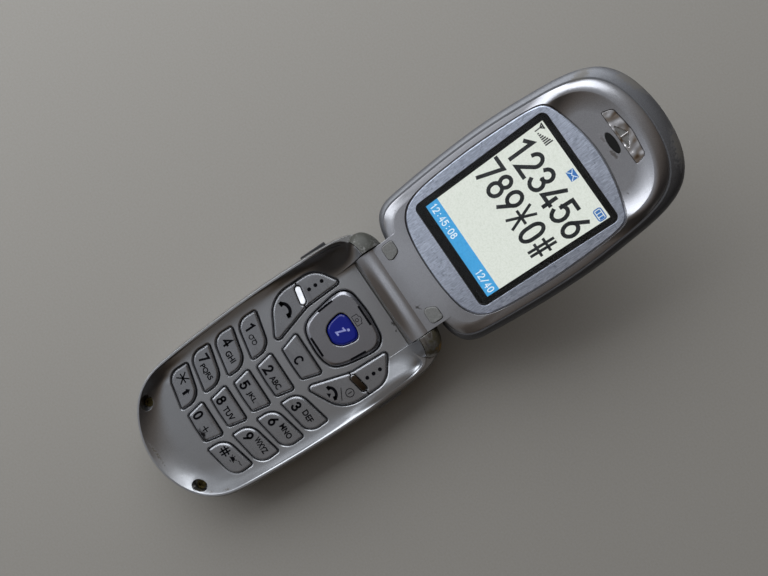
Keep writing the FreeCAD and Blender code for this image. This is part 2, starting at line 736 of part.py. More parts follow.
def side_key_outline(row, right):
    """Leaning key of the left or right column; row 0 holds 1 and 3."""
    outer, inner = ROW_SIDES[row]
    first_outer, first_inner = LEFT_KEY_SIDES
    stretch = (outer - inner) / (first_outer - first_inner)
    corners = [(inner + (x - first_inner) * stretch, y - row * ROW_PITCH, r) for x, y, r in LEFT_KEY]
    return rounded(mirror_corners(corners) if right else corners)


def middle_key_outline(top, height, top_half, bottom_half):
    bottom = top - height
    corner = MIDDLE_KEY_CORNER
    low = bottom + MIDDLE_KEY_BOW
    return rounded([
        (-top_half, top, corner),
        (top_half, top, corner),
        (bottom_half, low, corner),
        (0, bottom, MIDDLE_KEY_BOW_RADIUS),
        (-bottom_half, low, corner),
    ])


def middle_key(row):
    return middle_key_outline(
        MIDDLE_KEY_TOP - row * MIDDLE_ROW_PITCH,
        MIDDLE_KEY_HEIGHT,
        MIDDLE_KEY_TOP_HALF - row * MIDDLE_ROW_TAPER,
        MIDDLE_KEY_BOTTOM_HALF - row * MIDDLE_ROW_TAPER,
    )


def number_key_outlines():
    names = (("key_1", "key_2", "key_3"), ("key_4", "key_5", "key_6"),
             ("key_7", "key_8", "key_9"), ("key_star", "key_0", "key_hash"))
    outlines = {}
    for row, (left, middle, right) in enumerate(names):
        outlines[left] = side_key_outline(row, right=False)
        outlines[middle] = middle_key(row)
        outlines[right] = side_key_outline(row, right=True)
    outlines["key_clear"] = middle_key_outline(
        CLEAR_KEY_TOP, CLEAR_KEY_HEIGHT, CLEAR_KEY_TOP_HALF, CLEAR_KEY_BOTTOM_HALF
    )
    return outlines


def leaf_outline(right):
    return rounded(mirror_corners(LEAF) if right else LEAF)


def key_openings():
    openings = list(number_key_outlines().values())
    openings += [leaf_outline(right=False), leaf_outline(right=True)]
    return openings


def opening_bevel(opening):
    """Space that bevels the plate's edge round a key opening."""
    low = FLOOR_Z - OPENING_EDGE
    slope = 2 * OPENING_EDGE
    room = prism(grown(opening, slope), low, low + slope + OPENING_EDGE)
    return room.makeChamfer(slope, edges_at(room, low))


def nav_bevel():
    low = inset_outline(NAV_OUTLINE, 0.0, FLOOR_Z - OPENING_EDGE)
    high = inset_outline(NAV_OUTLINE, -2 * OPENING_EDGE, FLOOR_Z + OPENING_EDGE)
    return Part.makeLoft([low, high], True, True)


def key_cap(opening):
    """Cap that fills its opening but for the gap, with a flange under the plate."""
    cap = prism(grown(opening, -KEY_GAP), KEY_BOTTOM_Z, KEY_TOP_Z)
    cap = cap.makeChamfer(KEY_EDGE, edges_at(cap, KEY_TOP_Z))
    flange = prism(grown(opening, FLANGE_OVERLAP), KEY_BOTTOM_Z, FLANGE_TOP_Z)
    return cap.fuse(flange)


def split_direction():
    return vector(BAR_INNER[0] - BAR_OUTER[0], BAR_INNER[1] - BAR_OUTER[1]).normalize()


def bar_wire(grow):
    """Round-ended bar between the soft key and the call key, on the left."""
    along = split_direction()
    across = vector(-along.y, along.x)
    half = BAR_HALF_HEIGHT + grow
    a = vector(*BAR_OUTER) + along * BAR_HALF_HEIGHT
    b = vector(*BAR_INNER) - along * BAR_HALF_HEIGHT
    return Part.Wire([
        Part.makeLine(a + across * half, b + across * half),
        Part.Arc(b + across * half, b + along * half, b - across * half).toShape(),
        Part.makeLine(b - across * half, a - across * half),
        Part.Arc(a - across * half, a - along * half, a + across * half).toShape(),
    ])


def leaf_side(upper):
    """Half-space on one side of the split through the leaf, less half the split."""
    along = split_direction()
    angle = math.degrees(math.atan2(along.y, along.x))
    half = centred_box(FAR, LEAF_SPLIT / 2, FAR, -FAR, FAR)
    if not upper:
        half = centred_box(FAR, -FAR, -LEAF_SPLIT / 2, -FAR, FAR)
    half.rotate(vector(0, 0, 0), vector(0, 0, 1), angle)
    middle = (vector(*BAR_OUTER) + vector(*BAR_INNER)) * 0.5
    half.translate(middle)
    return half


def leaf_key(upper, right):
    cap = key_cap(leaf_outline(right=False)).common(leaf_side(upper))
    cap = cap.cut(prism(bar_wire(BAR_GAP), -FAR, FAR))
    return mirrored_x(cap) if right else cap


def divider_bars():
    bar = prism(bar_wire(0.0), MAT_TOP_Z, BAR_TOP_Z)
    bar = bar.makeFillet(BAR_HALF_HEIGHT / 3, edges_at(bar, BAR_TOP_Z))
    return Part.makeCompound([bar, mirrored_x(bar)])


def nav_key():
    cap = bevelled_cap(NAV_OUTLINE, NAV_GAP, NAV_SKIRT_Z, NAV_TOP_Z, NAV_EDGE, NAV_EDGE_DROP)
    return cap.cut(prism(inset_outline(CENTRE_OUTLINE, 0.0), -FAR, FAR))


def nav_pivot():
    """Rocking plate under the navigation key."""
    top = NAV_SKIRT_Z - FLANGE_GAP
    half = NAV_PIVOT_HALF
    y0 = NAV_CENTRE_Y - half
    y1 = NAV_CENTRE_Y + half
    plate = rounded_box(half, y0, y1, top - NAV_PIVOT_THICKNESS, top, NAV_PIVOT_CORNER)
    return plate.cut(prism(inset_outline(CENTRE_OUTLINE, 0.0), -FAR, FAR))


def centre_key():
    return bevelled_cap(
        CENTRE_OUTLINE, CENTRE_GAP, KEY_BOTTOM_Z, CENTRE_TOP_Z, CENTRE_EDGE, CENTRE_EDGE_DROP
    )


def inner_sheet(insets, heel, z0, z1):
    """Flat sheet inside the base, smaller than the rim line by an inset at the sides and the chin."""
    side, chin = insets
    return slab(RIM_OUTLINE, RIM_HALF - side, RIM_CHIN + chin, heel, z0, z1)


def key_mat():
    mat = inner_sheet(MAT_INSETS, MAT_HEEL, MAT_BOTTOM_Z, MAT_TOP_Z)
    return mat.cut(heel_screw_room()).cut(jack_room())


def dome_sheet():
    sheet = inner_sheet(MAT_INSETS, MAT_HEEL, BOARD_TOP_Z, MAT_BOTTOM_Z)
    return sheet.cut(heel_screw_room()).cut(jack_room())


def screw_room(place):
    x, y = place
    radius = BOSS_RADIUS + NEST_GAP
    return z_cylinder(radius, x, y, -FAR, FAR).fuse(z_cylinder(radius, -x, y, -FAR, FAR))


def heel_screw_room():
    return screw_room(HEEL_SCREW)


def main_board():
    board = inner_sheet(BOARD_INSETS, BOARD_HEEL, BOARD_BOTTOM_Z, BOARD_TOP_Z)
    return board.cut(heel_screw_room()).cut(screw_room(CHIN_SCREW)).cut(jack_room())


# Pieces on and round the main board


def under_board(size, bottom_z):
    half, y0, y1 = size
    return centred_box(half, y0, y1, bottom_z, BOARD_BOTTOM_Z)


def shield_can():
    return under_board(SHIELD, CAVITY_FLOOR_Z + SEAT_GAP)


def sim_holder():
    return under_board(SIM_HOLDER, CAVITY_FLOOR_Z + SEAT_GAP)


def battery_contacts():
    return under_board(CONTACTS, CONTACTS_BOTTOM_Z)


def connector_box(grow, y0):
    top = BOARD_BOTTOM_Z + grow
    bottom = BOARD_BOTTOM_Z - CONNECTOR_HEIGHT - grow
    return centred_box(CONNECTOR_HALF + grow, y0, CONNECTOR_FACE_Y + CONNECTOR_DEPTH, bottom, top)


def connector_hole():
    return connector_box(SEAT_GAP, -FAR * 2)


def data_connector():
    wall = CONNECTOR_WALL
    y0 = CONNECTOR_FACE_Y + CONNECTOR_SINK
    body = connector_box(0.0, y0)
    mouth = centred_box(
        CONNECTOR_HALF - wall,
        y0,
        y0 + CONNECTOR_MOUTH_DEPTH,
        BOARD_BOTTOM_Z - CONNECTOR_HEIGHT + wall,
        BOARD_BOTTOM_Z - wall,
    )
    return body.cut(mouth)


def microphone():
    return z_cylinder(MIC_RADIUS, 0, MIC_Y, BOARD_TOP_Z, BOARD_TOP_Z + MIC_HEIGHT)


def vibration_motor():
    z = CHAMBER_FLOOR_Z + MOTOR_RADIUS + SEAT_GAP
    return x_cylinder(MOTOR_RADIUS, MOTOR_X, MOTOR_X + MOTOR_LENGTH, MOTOR_Y, z)


def internal_antenna():
    return chamber(ANTENNA, *ANTENNA_Z)


def rocker_room(grow, depth):
    """Room of the volume rocker in the left wall."""
    half = ROCKER_LENGTH / 2 + grow
    tall = ROCKER_HEIGHT / 2 + grow
    return box(
        (-WALL_X - ROCKER_PROUD, -WALL_X + depth),
        (ROCKER_Y - half, ROCKER_Y + half),
        (ROCKER_Z - tall, ROCKER_Z + tall),
    )


def rocker_pocket():
    return rocker_room(ROCKER_GAP, ROCKER_DEPTH + ROCKER_GAP)


def volume_rocker():
    rocker = rocker_room(0.0, ROCKER_DEPTH)
    outer = [e for e in rocker.Edges if abs(e.BoundBox.XMax + WALL_X + ROCKER_PROUD) < 0.001]
    return rocker.makeFillet(ROCKER_PROUD, outer)


def cover_room(grow, depth, proud):
    tall = COVER_HEIGHT / 2 + grow
    return box(
        (WALL_X - depth, WALL_X + proud),
        (COVER_Y[0] - grow, COVER_Y[1] + grow),
        (COVER_Z - tall, COVER_Z + tall),
    )


def jack_centre_y():
    return (COVER_Y[0] + COVER_Y[1]) / 2


def jack_room():
    """Passage for the headset jack through the wall and past the board."""
    end = jack_face() - JACK_LENGTH - SEAT_GAP
    return x_cylinder(JACK_RADIUS + SEAT_GAP, end, WALL_X, jack_centre_y(), COVER_Z)


def jack_face():
    return WALL_X - COVER_DEPTH - COVER_GAP - SEAT_GAP


def cover_pocket():
    return cover_room(COVER_GAP, COVER_DEPTH + COVER_GAP, FAR).fuse(jack_room())


def jack_cover():
    cover = cover_room(0.0, COVER_DEPTH, COVER_PROUD)
    outer = [e for e in cover.Edges if abs(e.BoundBox.XMin - WALL_X - COVER_PROUD) < 0.001]
    return cover.makeFillet(COVER_PROUD, outer)


def headset_jack():
    face = jack_face()
    end = face - JACK_LENGTH
    body = x_cylinder(JACK_RADIUS, end, face, jack_centre_y(), COVER_Z)
    bore = x_cylinder(JACK_BORE_RADIUS, end + JACK_END_WALL, face, jack_centre_y(), COVER_Z)
    return body.cut(bore)


# Hinge pieces


def hinge_pin():
    """Left pin: fast in the knuckle, running in the barrel."""
    return x_cylinder(PIN_RADIUS, -KNUCKLE_START - PIN_SEAT, -BARREL_HALF + PIN_REACH)


def hinge_shaft():
    """Right shaft: fast in the knuckle, running in the cartridge."""
    return x_cylinder(PIN_RADIUS, BARREL_HALF - PIN_REACH, KNUCKLE_START + PIN_SEAT)


def hinge_cartridge():
    body = x_cylinder(CARTRIDGE_RADIUS, BARREL_HALF - CARTRIDGE_LENGTH, BARREL_HALF)
    bore = x_cylinder(PIN_RADIUS + RUNNING_FIT, BARREL_HALF - PIN_REACH - RUNNING_FIT, BARREL_HALF)
    return body.cut(bore)


# Lid, drawn flat


def lid_wire(size):
    half_width, hinge_end, tip_end = size
    return scaled_outline(LID_OUTLINE, 0.0, half_width, hinge_end, tip_end)


def barrel_and_neck():
    barrel = x_cylinder(BARREL_RADIUS, -BARREL_HALF, BARREL_HALF)
    neck = centred_box(NECK_HALF, 0, NECK_END, NECK_UNDERSIDE_Z, INNER_FACE_Z)
    return barrel.fuse(neck)


def barrel_bores():
    left_end = -BARREL_HALF + PIN_REACH + RUNNING_FIT
    left = x_cylinder(PIN_RADIUS + RUNNING_FIT, -BARREL_HALF, left_end)
    right_start = BARREL_HALF - CARTRIDGE_LENGTH - SEAT_GAP
    right = x_cylinder(CARTRIDGE_RADIUS + SEAT_GAP, right_start, BARREL_HALF)
    return left.fuse(right)


def ear_dish():
    """Shallow oval hollow round the earpiece."""
    half_x, half_s = EAR_DISH_HALF
    depth = EAR_DISH_DEPTH
    radius = (half_s ** 2 + depth ** 2) / (2 * depth)
    ball = Part.makeSphere(radius, vector(0, EAR_DISH_S, INNER_FACE_Z - depth + radius))
    widen = FreeCAD.Matrix()
    widen.A11 = half_x / half_s
    return ball.transformGeometry(widen)


def lcd_wire_box(margin, z0, z1):
    return centred_box(LCD_HALF + margin, LCD_S[0] - margin, LCD_S[1] + margin, z0, z1)


def pad_wire(right):
    return rounded(mirror_corners(PAD_OUTLINE) if right else PAD_OUTLINE)


def flex_room(gap):
    z0 = FLEX_Z - gap
    z1 = FLEX_Z + FLEX_THICKNESS + gap
    return centred_box(FLEX_HALF + gap, FLEX_START - gap, LID_BOARD[1] - SEAT_GAP + gap, z0, z1)


def lid_inner_housing():
    body = stack(LID_OUTLINE, PILLOW_LEVELS)
    nest = prism(lid_wire(INNER_NEST), INNER_NEST_BOTTOM_Z, PILLOW_LEVELS[0][0] + INNER_NEST_OVERLAP)
    cavity = prism(lid_wire(INNER_CAVITY), -FAR, INNER_FACE_Z - INNER_WALL)
    body = body.fuse(nest).cut(cavity)
    body = body.fuse(barrel_and_neck())
    body = body.cut(barrel_bores())
    body = body.cut(ear_dish())
    recess_bottom = INNER_FACE_Z - BEZEL_THICKNESS
    body = body.cut(prism(inset_outline(BEZEL_OUTLINE, 0.0), recess_bottom, FAR))
    body = body.cut(lcd_wire_box(LCD_BORDER + SEAT_GAP, -FAR, FAR))
    body = body.cut(prism(grown(rounded(SLOT_OUTLINE), SLOT_GAP), -FAR, FAR))
    body = body.cut(ear_pad_shape(PAD_GAP, INNER_FACE_Z - EAR_PAD_SINK - EAR_PAD_THICKNESS, FAR))
    for right in (False, True):
        body = body.cut(prism(pad_wire(right), INNER_FACE_Z - PAD_DEPTH, FAR))
    for x in (LID_SCREW[0], -LID_SCREW[0]):
        head_top = INNER_FACE_Z - PAD_DEPTH
        head_bottom = head_top - SCREW_HEAD_HEIGHT - SEAT_GAP
        body = body.cut(z_cylinder(SCREW_HEAD_RADIUS + SEAT_GAP, x, LID_SCREW[1], head_bottom, head_top))
        body = body.cut(z_cylinder(SCREW_SHANK_RADIUS + SEAT_GAP, x, LID_SCREW[1], -FAR, head_top))
    body = body.cut(flex_room(FLEX_SLOT_GAP))
    return body


def lid_outer_housing():
    body = stack(LID_OUTLINE, SHELL_LEVELS)
    body = body.cut(stack(LID_OUTLINE, SHELL_CAVITY_LEVELS))
    for x in (LID_SCREW[0], -LID_SCREW[0]):
        top = NECK_UNDERSIDE_Z - NECK_GAP
        block = z_cylinder(SHELL_BOSS_RADIUS, x, LID_SCREW[1], SHELL_LEVELS[-1][0], top)
        body = body.fuse(block.common(stack(LID_OUTLINE, SHELL_LEVELS)))
        body = body.cut(z_cylinder(SCREW_SHANK_RADIUS + SEAT_GAP, x, LID_SCREW[1], LID_SCREW_TIP_Z, FAR))
    neck_room = centred_box(
        NECK_HALF + NECK_GAP, -FAR, NECK_END + NECK_GAP, NECK_UNDERSIDE_Z - NECK_GAP, FAR
    )
    body = body.cut(neck_room)
    half, s0, s1 = SUB_WINDOW
    outer_z = SHELL_LEVELS[-1][0]
    pane = rounded_box(half + WINDOW_GAP, s0 - WINDOW_GAP, s1 + WINDOW_GAP, -FAR,
                       outer_z + SUB_WINDOW_THICKNESS, SUB_WINDOW_CORNER)
    body = body.cut(pane)
    margin = SUB_PANEL_MARGIN
    body = body.cut(centred_box(half - margin, s0 + margin, s1 - margin, -FAR, -INNER_WALL))
    ring_top = outer_z + CAMERA_RING_HEIGHT
    return body.cut(z_cylinder(CAMERA_RING_RADIUS + SEAT_GAP, 0, CAMERA_S, -FAR, ring_top))


def lid_screws():
    head_z = INNER_FACE_Z - PAD_DEPTH - SEAT_GAP
    return Part.makeCompound([screw(x, LID_SCREW[1], head_z, LID_SCREW_TIP_Z + SEAT_GAP)
                              for x in (LID_SCREW[0], -LID_SCREW[0])])


def display_bezel():
    bottom = INNER_FACE_Z - BEZEL_THICKNESS
    plate = bevelled_cap(BEZEL_OUTLINE, BEZEL_GAP, bottom, INNER_FACE_Z, BEZEL_EDGE, BEZEL_EDGE)
    window = rounded_box(WINDOW_HALF, WINDOW_S[0], WINDOW_S[1], -FAR, FAR, WINDOW_CORNER)
    return plate.cut(window)


def display_window():
    gap = WINDOW_GAP
    bottom = INNER_FACE_Z - BEZEL_THICKNESS
    return rounded_box(WINDOW_HALF - gap, WINDOW_S[0] + gap, WINDOW_S[1] - gap, bottom,
                       bottom + WINDOW_THICKNESS, WINDOW_CORNER - gap)


def lcd_top_z():
    return INNER_FACE_Z - BEZEL_THICKNESS


def lcd_panel():
    return lcd_wire_box(LCD_BORDER, lcd_top_z() - LCD_THICKNESS, lcd_top_z())


def lcd_backlight():
    top = lcd_top_z() - LCD_THICKNESS
    return lcd_wire_box(LCD_BORDER + BACKLIGHT_LIP, top - BACKLIGHT_THICKNESS, top)


def lid_board():
    top = lcd_top_z() - LCD_THICKNESS - BACKLIGHT_THICKNESS
    half, s0, s1 = LID_BOARD
    return centred_box(half, s0, s1, top - LID_BOARD_THICKNESS, top)


def earpiece():
    top = INNER_FACE_Z - INNER_WALL
    return z_cylinder(EARPIECE_RADIUS, 0, EARPIECE_S, top - EARPIECE_THICKNESS, top)


def earpiece_trim():
    """Bright insert in the ear slot, with a mouth divided by a rib."""
    top = INNER_FACE_Z - TRIM_SINK
    body = prism(rounded(SLOT_OUTLINE), top - TRIM_THICKNESS, top)
    low = SLOT_BOTTOM + TRIM_MOUTH_RISE
    mouth = rounded([(-TRIM_MOUTH, low, 0.2), (TRIM_MOUTH, low, 0.2), (0, low + TRIM_MOUTH_HEIGHT, 0.4)])
    rib = centred_box(TRIM_RIB / 2, low, low + FAR, -FAR, FAR)
    return body.cut(prism(mouth, -FAR, FAR).cut(rib))


def ear_pad_shape(grow, z0, z1):
    half_x, half_s = EAR_PAD_HALF
    oval = Part.Ellipse(vector(0, EAR_PAD_S, 0), half_x + grow, half_s + grow).toShape()
    return prism(Part.Wire([oval]), z0, z1)


def ear_pad():
    top = INNER_FACE_Z - EAR_DISH_DEPTH + EAR_PAD_PROUD
    return ear_pad_shape(0.0, top - EAR_PAD_THICKNESS, top)


def neck_pads():
    pads = []
    for right in (False, True):
        pad = prism(grown(pad_wire(right), -PAD_GAP), INNER_FACE_Z - PAD_DEPTH, INNER_FACE_Z + PAD_PROUD)
        pads.append(pad.makeChamfer(PAD_PROUD / 2, edges_at(pad, INNER_FACE_Z + PAD_PROUD)))
    return Part.makeCompound(pads)


def sub_display_window():
    half, s0, s1 = SUB_WINDOW
    z0 = SHELL_LEVELS[-1][0]
    return rounded_box(half, s0, s1, z0, z0 + SUB_WINDOW_THICKNESS, SUB_WINDOW_CORNER)


def sub_display_panel():
    half, s0, s1 = SUB_WINDOW
    margin = SUB_PANEL_MARGIN + SEAT_GAP
    z0 = SHELL_LEVELS[-1][0] + SUB_WINDOW_THICKNESS
    return centred_box(half - margin, s0 + margin, s1 - margin, z0, z0 + SUB_PANEL_THICKNESS)


def camera_ring():
    z0 = SHELL_LEVELS[-1][0] - CAMERA_PROUD
    z1 = SHELL_LEVELS[-1][0] + CAMERA_RING_HEIGHT
    ring = z_cylinder(CAMERA_RING_RADIUS, 0, CAMERA_S, z0, z1)
    ring = ring.makeFillet(CAMERA_PROUD / 2, edges_at(ring, z0))
    return ring.cut(z_cylinder(CAMERA_LENS_RADIUS + SEAT_GAP, 0, CAMERA_S, -FAR, FAR))


def camera_lens():
    z0 = SHELL_LEVELS[-1][0]
    return z_cylinder(CAMERA_LENS_RADIUS, 0, CAMERA_S, z0, z0 + CAMERA_RING_HEIGHT)


def camera_module():
    z0 = SHELL_LEVELS[-1][0] + CAMERA_RING_HEIGHT
    half = CAMERA_MODULE_HALF
    top = z0 + CAMERA_MODULE_THICKNESS
    return centred_box(half, CAMERA_S - half, CAMERA_S + half, z0, top)


def flex_cable():
    return flex_room(0.0)


def build():
    """All pieces: those of the base in place, those of the lid turned to the stop."""
    base = {
        "front_housing": front_housing(),
        "rear_housing": rear_housing(),
        "housing_screws": housing_screws(),
        "key_mat": key_mat(),
        "dome_sheet": dome_sheet(),
        "main_board": main_board(),
        "shield_can": shield_can(),
        "sim_holder": sim_holder(),
        "battery_contacts": battery_contacts(),
        "data_connector": data_connector(),
        "microphone": microphone(),
        "vibration_motor": vibration_motor(),
        "internal_antenna": internal_antenna(),
        "headset_jack": headset_jack(),
        "jack_cover": jack_cover(),
        "volume_rocker": volume_rocker(),
        "battery_pack": battery_pack(),
        "battery_latch": battery_latch(),
        "hinge_pin": hinge_pin(),
        "hinge_shaft": hinge_shaft(),
        "divider_bars": divider_bars(),
        "nav_key": nav_key(),
        "nav_pivot": nav_pivot(),
        "centre_key": centre_key(),
        "soft_key_left": leaf_key(upper=True, right=False),
        "call_key": leaf_key(upper=False, right=False),
        "soft_key_right": leaf_key(upper=True, right=True),
        "end_key": leaf_key(upper=False, right=True),
    }
    for name, opening in number_key_outlines().items():
        base[name] = key_cap(opening)
    lid = {
        "hinge_cartridge": hinge_cartridge(),
        "lid_inner_housing": lid_inner_housing(),
        "lid_outer_housing": lid_outer_housing(),
        "lid_screws": lid_screws(),
        "display_bezel": display_bezel(),
        "display_window": display_window(),
        "lcd_panel": lcd_panel(),
        "lcd_backlight": lcd_backlight(),
        "lid_board": lid_board(),
        "earpiece": earpiece(),
        "earpiece_trim": earpiece_trim(),
        "ear_pad": ear_pad(),
        "neck_pads": neck_pads(),
        "sub_display_window": sub_display_window(),
        "sub_display_panel": sub_display_panel(),
        "camera_ring": camera_ring(),
        "camera_lens": camera_lens(),
        "camera_module": camera_module(),
        "flex_cable": flex_cable(),
    }
    for shape in lid.values():
        shape.rotate(vector(0, 0, 0), vector(1, 0, 0), REST_TILT)
    pieces = dict(base)
    pieces.update(lid)
    return pieces


os.makedirs("parts", exist_ok=True)
for name, shape in build().items():
    shape.translate(-ORIGIN)
    shape.exportStep("parts/" + name + ".step")
    print(name, len(shape.Solids), round(shape.Volume, 2), shape.isValid())
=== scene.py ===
import json
import math
import bpy
import bmesh
from mathutils import Matrix, Vector


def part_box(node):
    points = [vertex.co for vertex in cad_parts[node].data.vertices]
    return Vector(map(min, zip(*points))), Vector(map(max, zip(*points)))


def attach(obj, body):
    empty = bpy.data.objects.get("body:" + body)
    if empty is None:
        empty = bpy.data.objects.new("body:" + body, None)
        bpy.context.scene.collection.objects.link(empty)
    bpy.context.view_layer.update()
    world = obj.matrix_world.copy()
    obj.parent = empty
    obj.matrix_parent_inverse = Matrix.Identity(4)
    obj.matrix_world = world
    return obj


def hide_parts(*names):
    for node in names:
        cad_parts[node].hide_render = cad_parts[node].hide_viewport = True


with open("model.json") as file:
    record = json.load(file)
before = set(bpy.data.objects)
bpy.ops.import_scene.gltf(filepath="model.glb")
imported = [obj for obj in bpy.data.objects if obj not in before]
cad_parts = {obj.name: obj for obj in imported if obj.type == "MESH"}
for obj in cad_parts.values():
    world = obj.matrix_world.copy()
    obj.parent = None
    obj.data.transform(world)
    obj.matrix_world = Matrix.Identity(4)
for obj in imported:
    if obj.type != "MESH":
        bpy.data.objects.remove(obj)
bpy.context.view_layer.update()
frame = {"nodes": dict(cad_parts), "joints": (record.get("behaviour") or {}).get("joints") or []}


# Base shells
# The front shell with the dished keypad and the rear shell are injection
# moulded ABS, sprayed with fine silver paint, and screwed together.

MM = 0.001
NODES = frame["nodes"]


def linear(code):
    """sRGB hex colour as linear RGBA."""
    parts = [int(code[i:i + 2], 16) / 255 for i in (0, 2, 4)]
    return [p / 12.92 if p <= 0.04045 else ((p + 0.055) / 1.055) ** 2.4 for p in parts] + [1.0]


def add(tree, kind, inputs=(), **settings):
    """Adds a node: its settings by name, then each input socket's value or link. A Mix
    node's sockets go by number: 2 and 3 are numbers, 4 and 5 directions, 6 and 7 colours."""
    node = tree.nodes.new(kind)
    for name, value in settings.items():
        setattr(node, name, value)
    for socket, value in dict(inputs).items():
        if isinstance(value, bpy.types.NodeSocket):
            tree.links.new(value, node.inputs[socket])
        else:
            node.inputs[socket].default_value = value
    return node


def new_material(name):
    """Empty node material, with its shader and the object's own coordinates."""
    material = bpy.data.materials.new(name)
    material.use_nodes = True
    tree = material.node_tree
    tree.nodes.clear()
    shader = add(tree, "ShaderNodeBsdfPrincipled")
    add(tree, "ShaderNodeOutputMaterial", {"Surface": shader.outputs["BSDF"]})
    place = add(tree, "ShaderNodeTexCoord").outputs["Object"]
    return material, tree, shader, place


def pattern(tree, place, size_mm, detail=3.0, stretch=(1.0, 1.0, 1.0)):
    """Noise whose grain is size_mm wide, drawn out along an axis by a stretch below 1."""
    scaled = add(tree, "ShaderNodeMapping", {"Vector": place, "Scale": stretch})
    noise = add(tree, "ShaderNodeTexNoise", {
        "Vector": scaled.outputs["Vector"],
        "Scale": 1.0 / (size_mm * MM),
        "Detail": detail,
    })
    return noise.outputs["Fac"]


def tones(tree, mask, low, high, start=0.35, end=0.65):
    """Colour going from low to high as the mask goes from start to end."""
    ramp = add(tree, "ShaderNodeValToRGB", {"Fac": mask})
    ramp.color_ramp.elements[0].position = start
    ramp.color_ramp.elements[1].position = end
    ramp.color_ramp.elements[0].color = linear(low)
    ramp.color_ramp.elements[1].color = linear(high)
    return ramp.outputs["Color"]


def span(tree, mask, low, high, start=0.3, end=0.7):
    """Number going from low to high as the mask goes from start to end."""
    return add(tree, "ShaderNodeMapRange", {
        "Value": mask, "From Min": start, "From Max": end, "To Min": low, "To Max": high,
    }).outputs["Result"]


def soft_edges(tree, shader, height=None, depth_mm=0.0, radius_mm=0.12):
    """Rounds the shading of sharp edges, over a fine relief if one is given."""
    normal = add(tree, "ShaderNodeBevel", {"Radius": radius_mm * MM}, samples=6).outputs["Normal"]
    if height is not None:
        normal = add(tree, "ShaderNodeBump", {
            "Height": height, "Distance": depth_mm * MM, "Normal": normal,
        }).outputs["Normal"]
    tree.links.new(normal, shader.inputs["Normal"])


def mixed(tree, mask, first, second):
    """Colour first where the mask is 0 and second where it is 1."""
    return add(tree, "ShaderNodeMix", {0: mask, 6: first, 7: second}, data_type="RGBA").outputs[2]


def oval(tree, place, centre, half, turn_degrees):
    """Distance from an oval's centre, 1 on its outline: centre and half sizes in mm."""
    moved = add(tree, "ShaderNodeVectorMath", {
        0: place, 1: Vector(centre) * MM,
    }, operation="SUBTRACT")
    turned = add(tree, "ShaderNodeVectorRotate", {
        "Vector": moved.outputs[0], "Angle": math.radians(-turn_degrees),
    }, rotation_type="Z_AXIS")
    shrunk = add(tree, "ShaderNodeVectorMath", {
        0: turned.outputs[0], 1: [1.0 / (h * MM) for h in half],
    }, operation="MULTIPLY")
    length = add(tree, "ShaderNodeVectorMath", {0: shrunk.outputs[0]}, operation="LENGTH")
    return length.outputs["Value"]


def stain_and_shade_mask(tree, place, centre, half, turn_degrees, speckle_mm):
    """Mask of a stain or patch of painted shade that thins out into specks towards its outline."""
    body = span(tree, oval(tree, place, centre, half, turn_degrees), 0.62, 0.0, 0.1, 1.2)
    specks = pattern(tree, place, speckle_mm, 4.0)
    both = add(tree, "ShaderNodeMath", {0: body, 1: specks}, operation="ADD").outputs[0]
    return span(tree, both, 0.0, 1.0, 0.72, 0.98)


# Dust and painted shade: a dark colour laid into joints, grooves and gaps where ambient occlusion finds
# them closed in
GRIME_AND_SHADE = "2a2622"
GRIME_AND_SHADE_REACH = 0.5


def grimed_and_shaded(tree, colour):
    """The colour with dust, skin grease and painted shade in the joints and grooves."""
    nook = add(tree, "ShaderNodeAmbientOcclusion", {"Distance": GRIME_AND_SHADE_REACH * MM}, samples=6)
    grime_and_shade_mask = span(tree, nook.outputs["AO"], 0.9, 0.0, 0.2, 0.55)
    return mixed(tree, grime_and_shade_mask, colour, linear(GRIME_AND_SHADE))


def leant(tree, shader, mask, lean):
    """Turns the shading towards a direction where the mask is 1."""
    normal = shader.inputs["Normal"].links[0].from_socket
    turned = add(tree, "ShaderNodeMix", {0: mask, 4: normal, 5: lean}, data_type="VECTOR").outputs[1]
    unit = add(tree, "ShaderNodeVectorMath", {0: turned}, operation="NORMALIZE").outputs[0]
    tree.links.new(unit, shader.inputs["Normal"])


# Real flakes are 0.03 mm wide; they are drawn this wide so that they show
FLAKE_SIZE = 0.16
# Dirt and worn paint are dull
DIRT_ROUGHNESS = 0.6
DIRT_METALLIC = 0.15


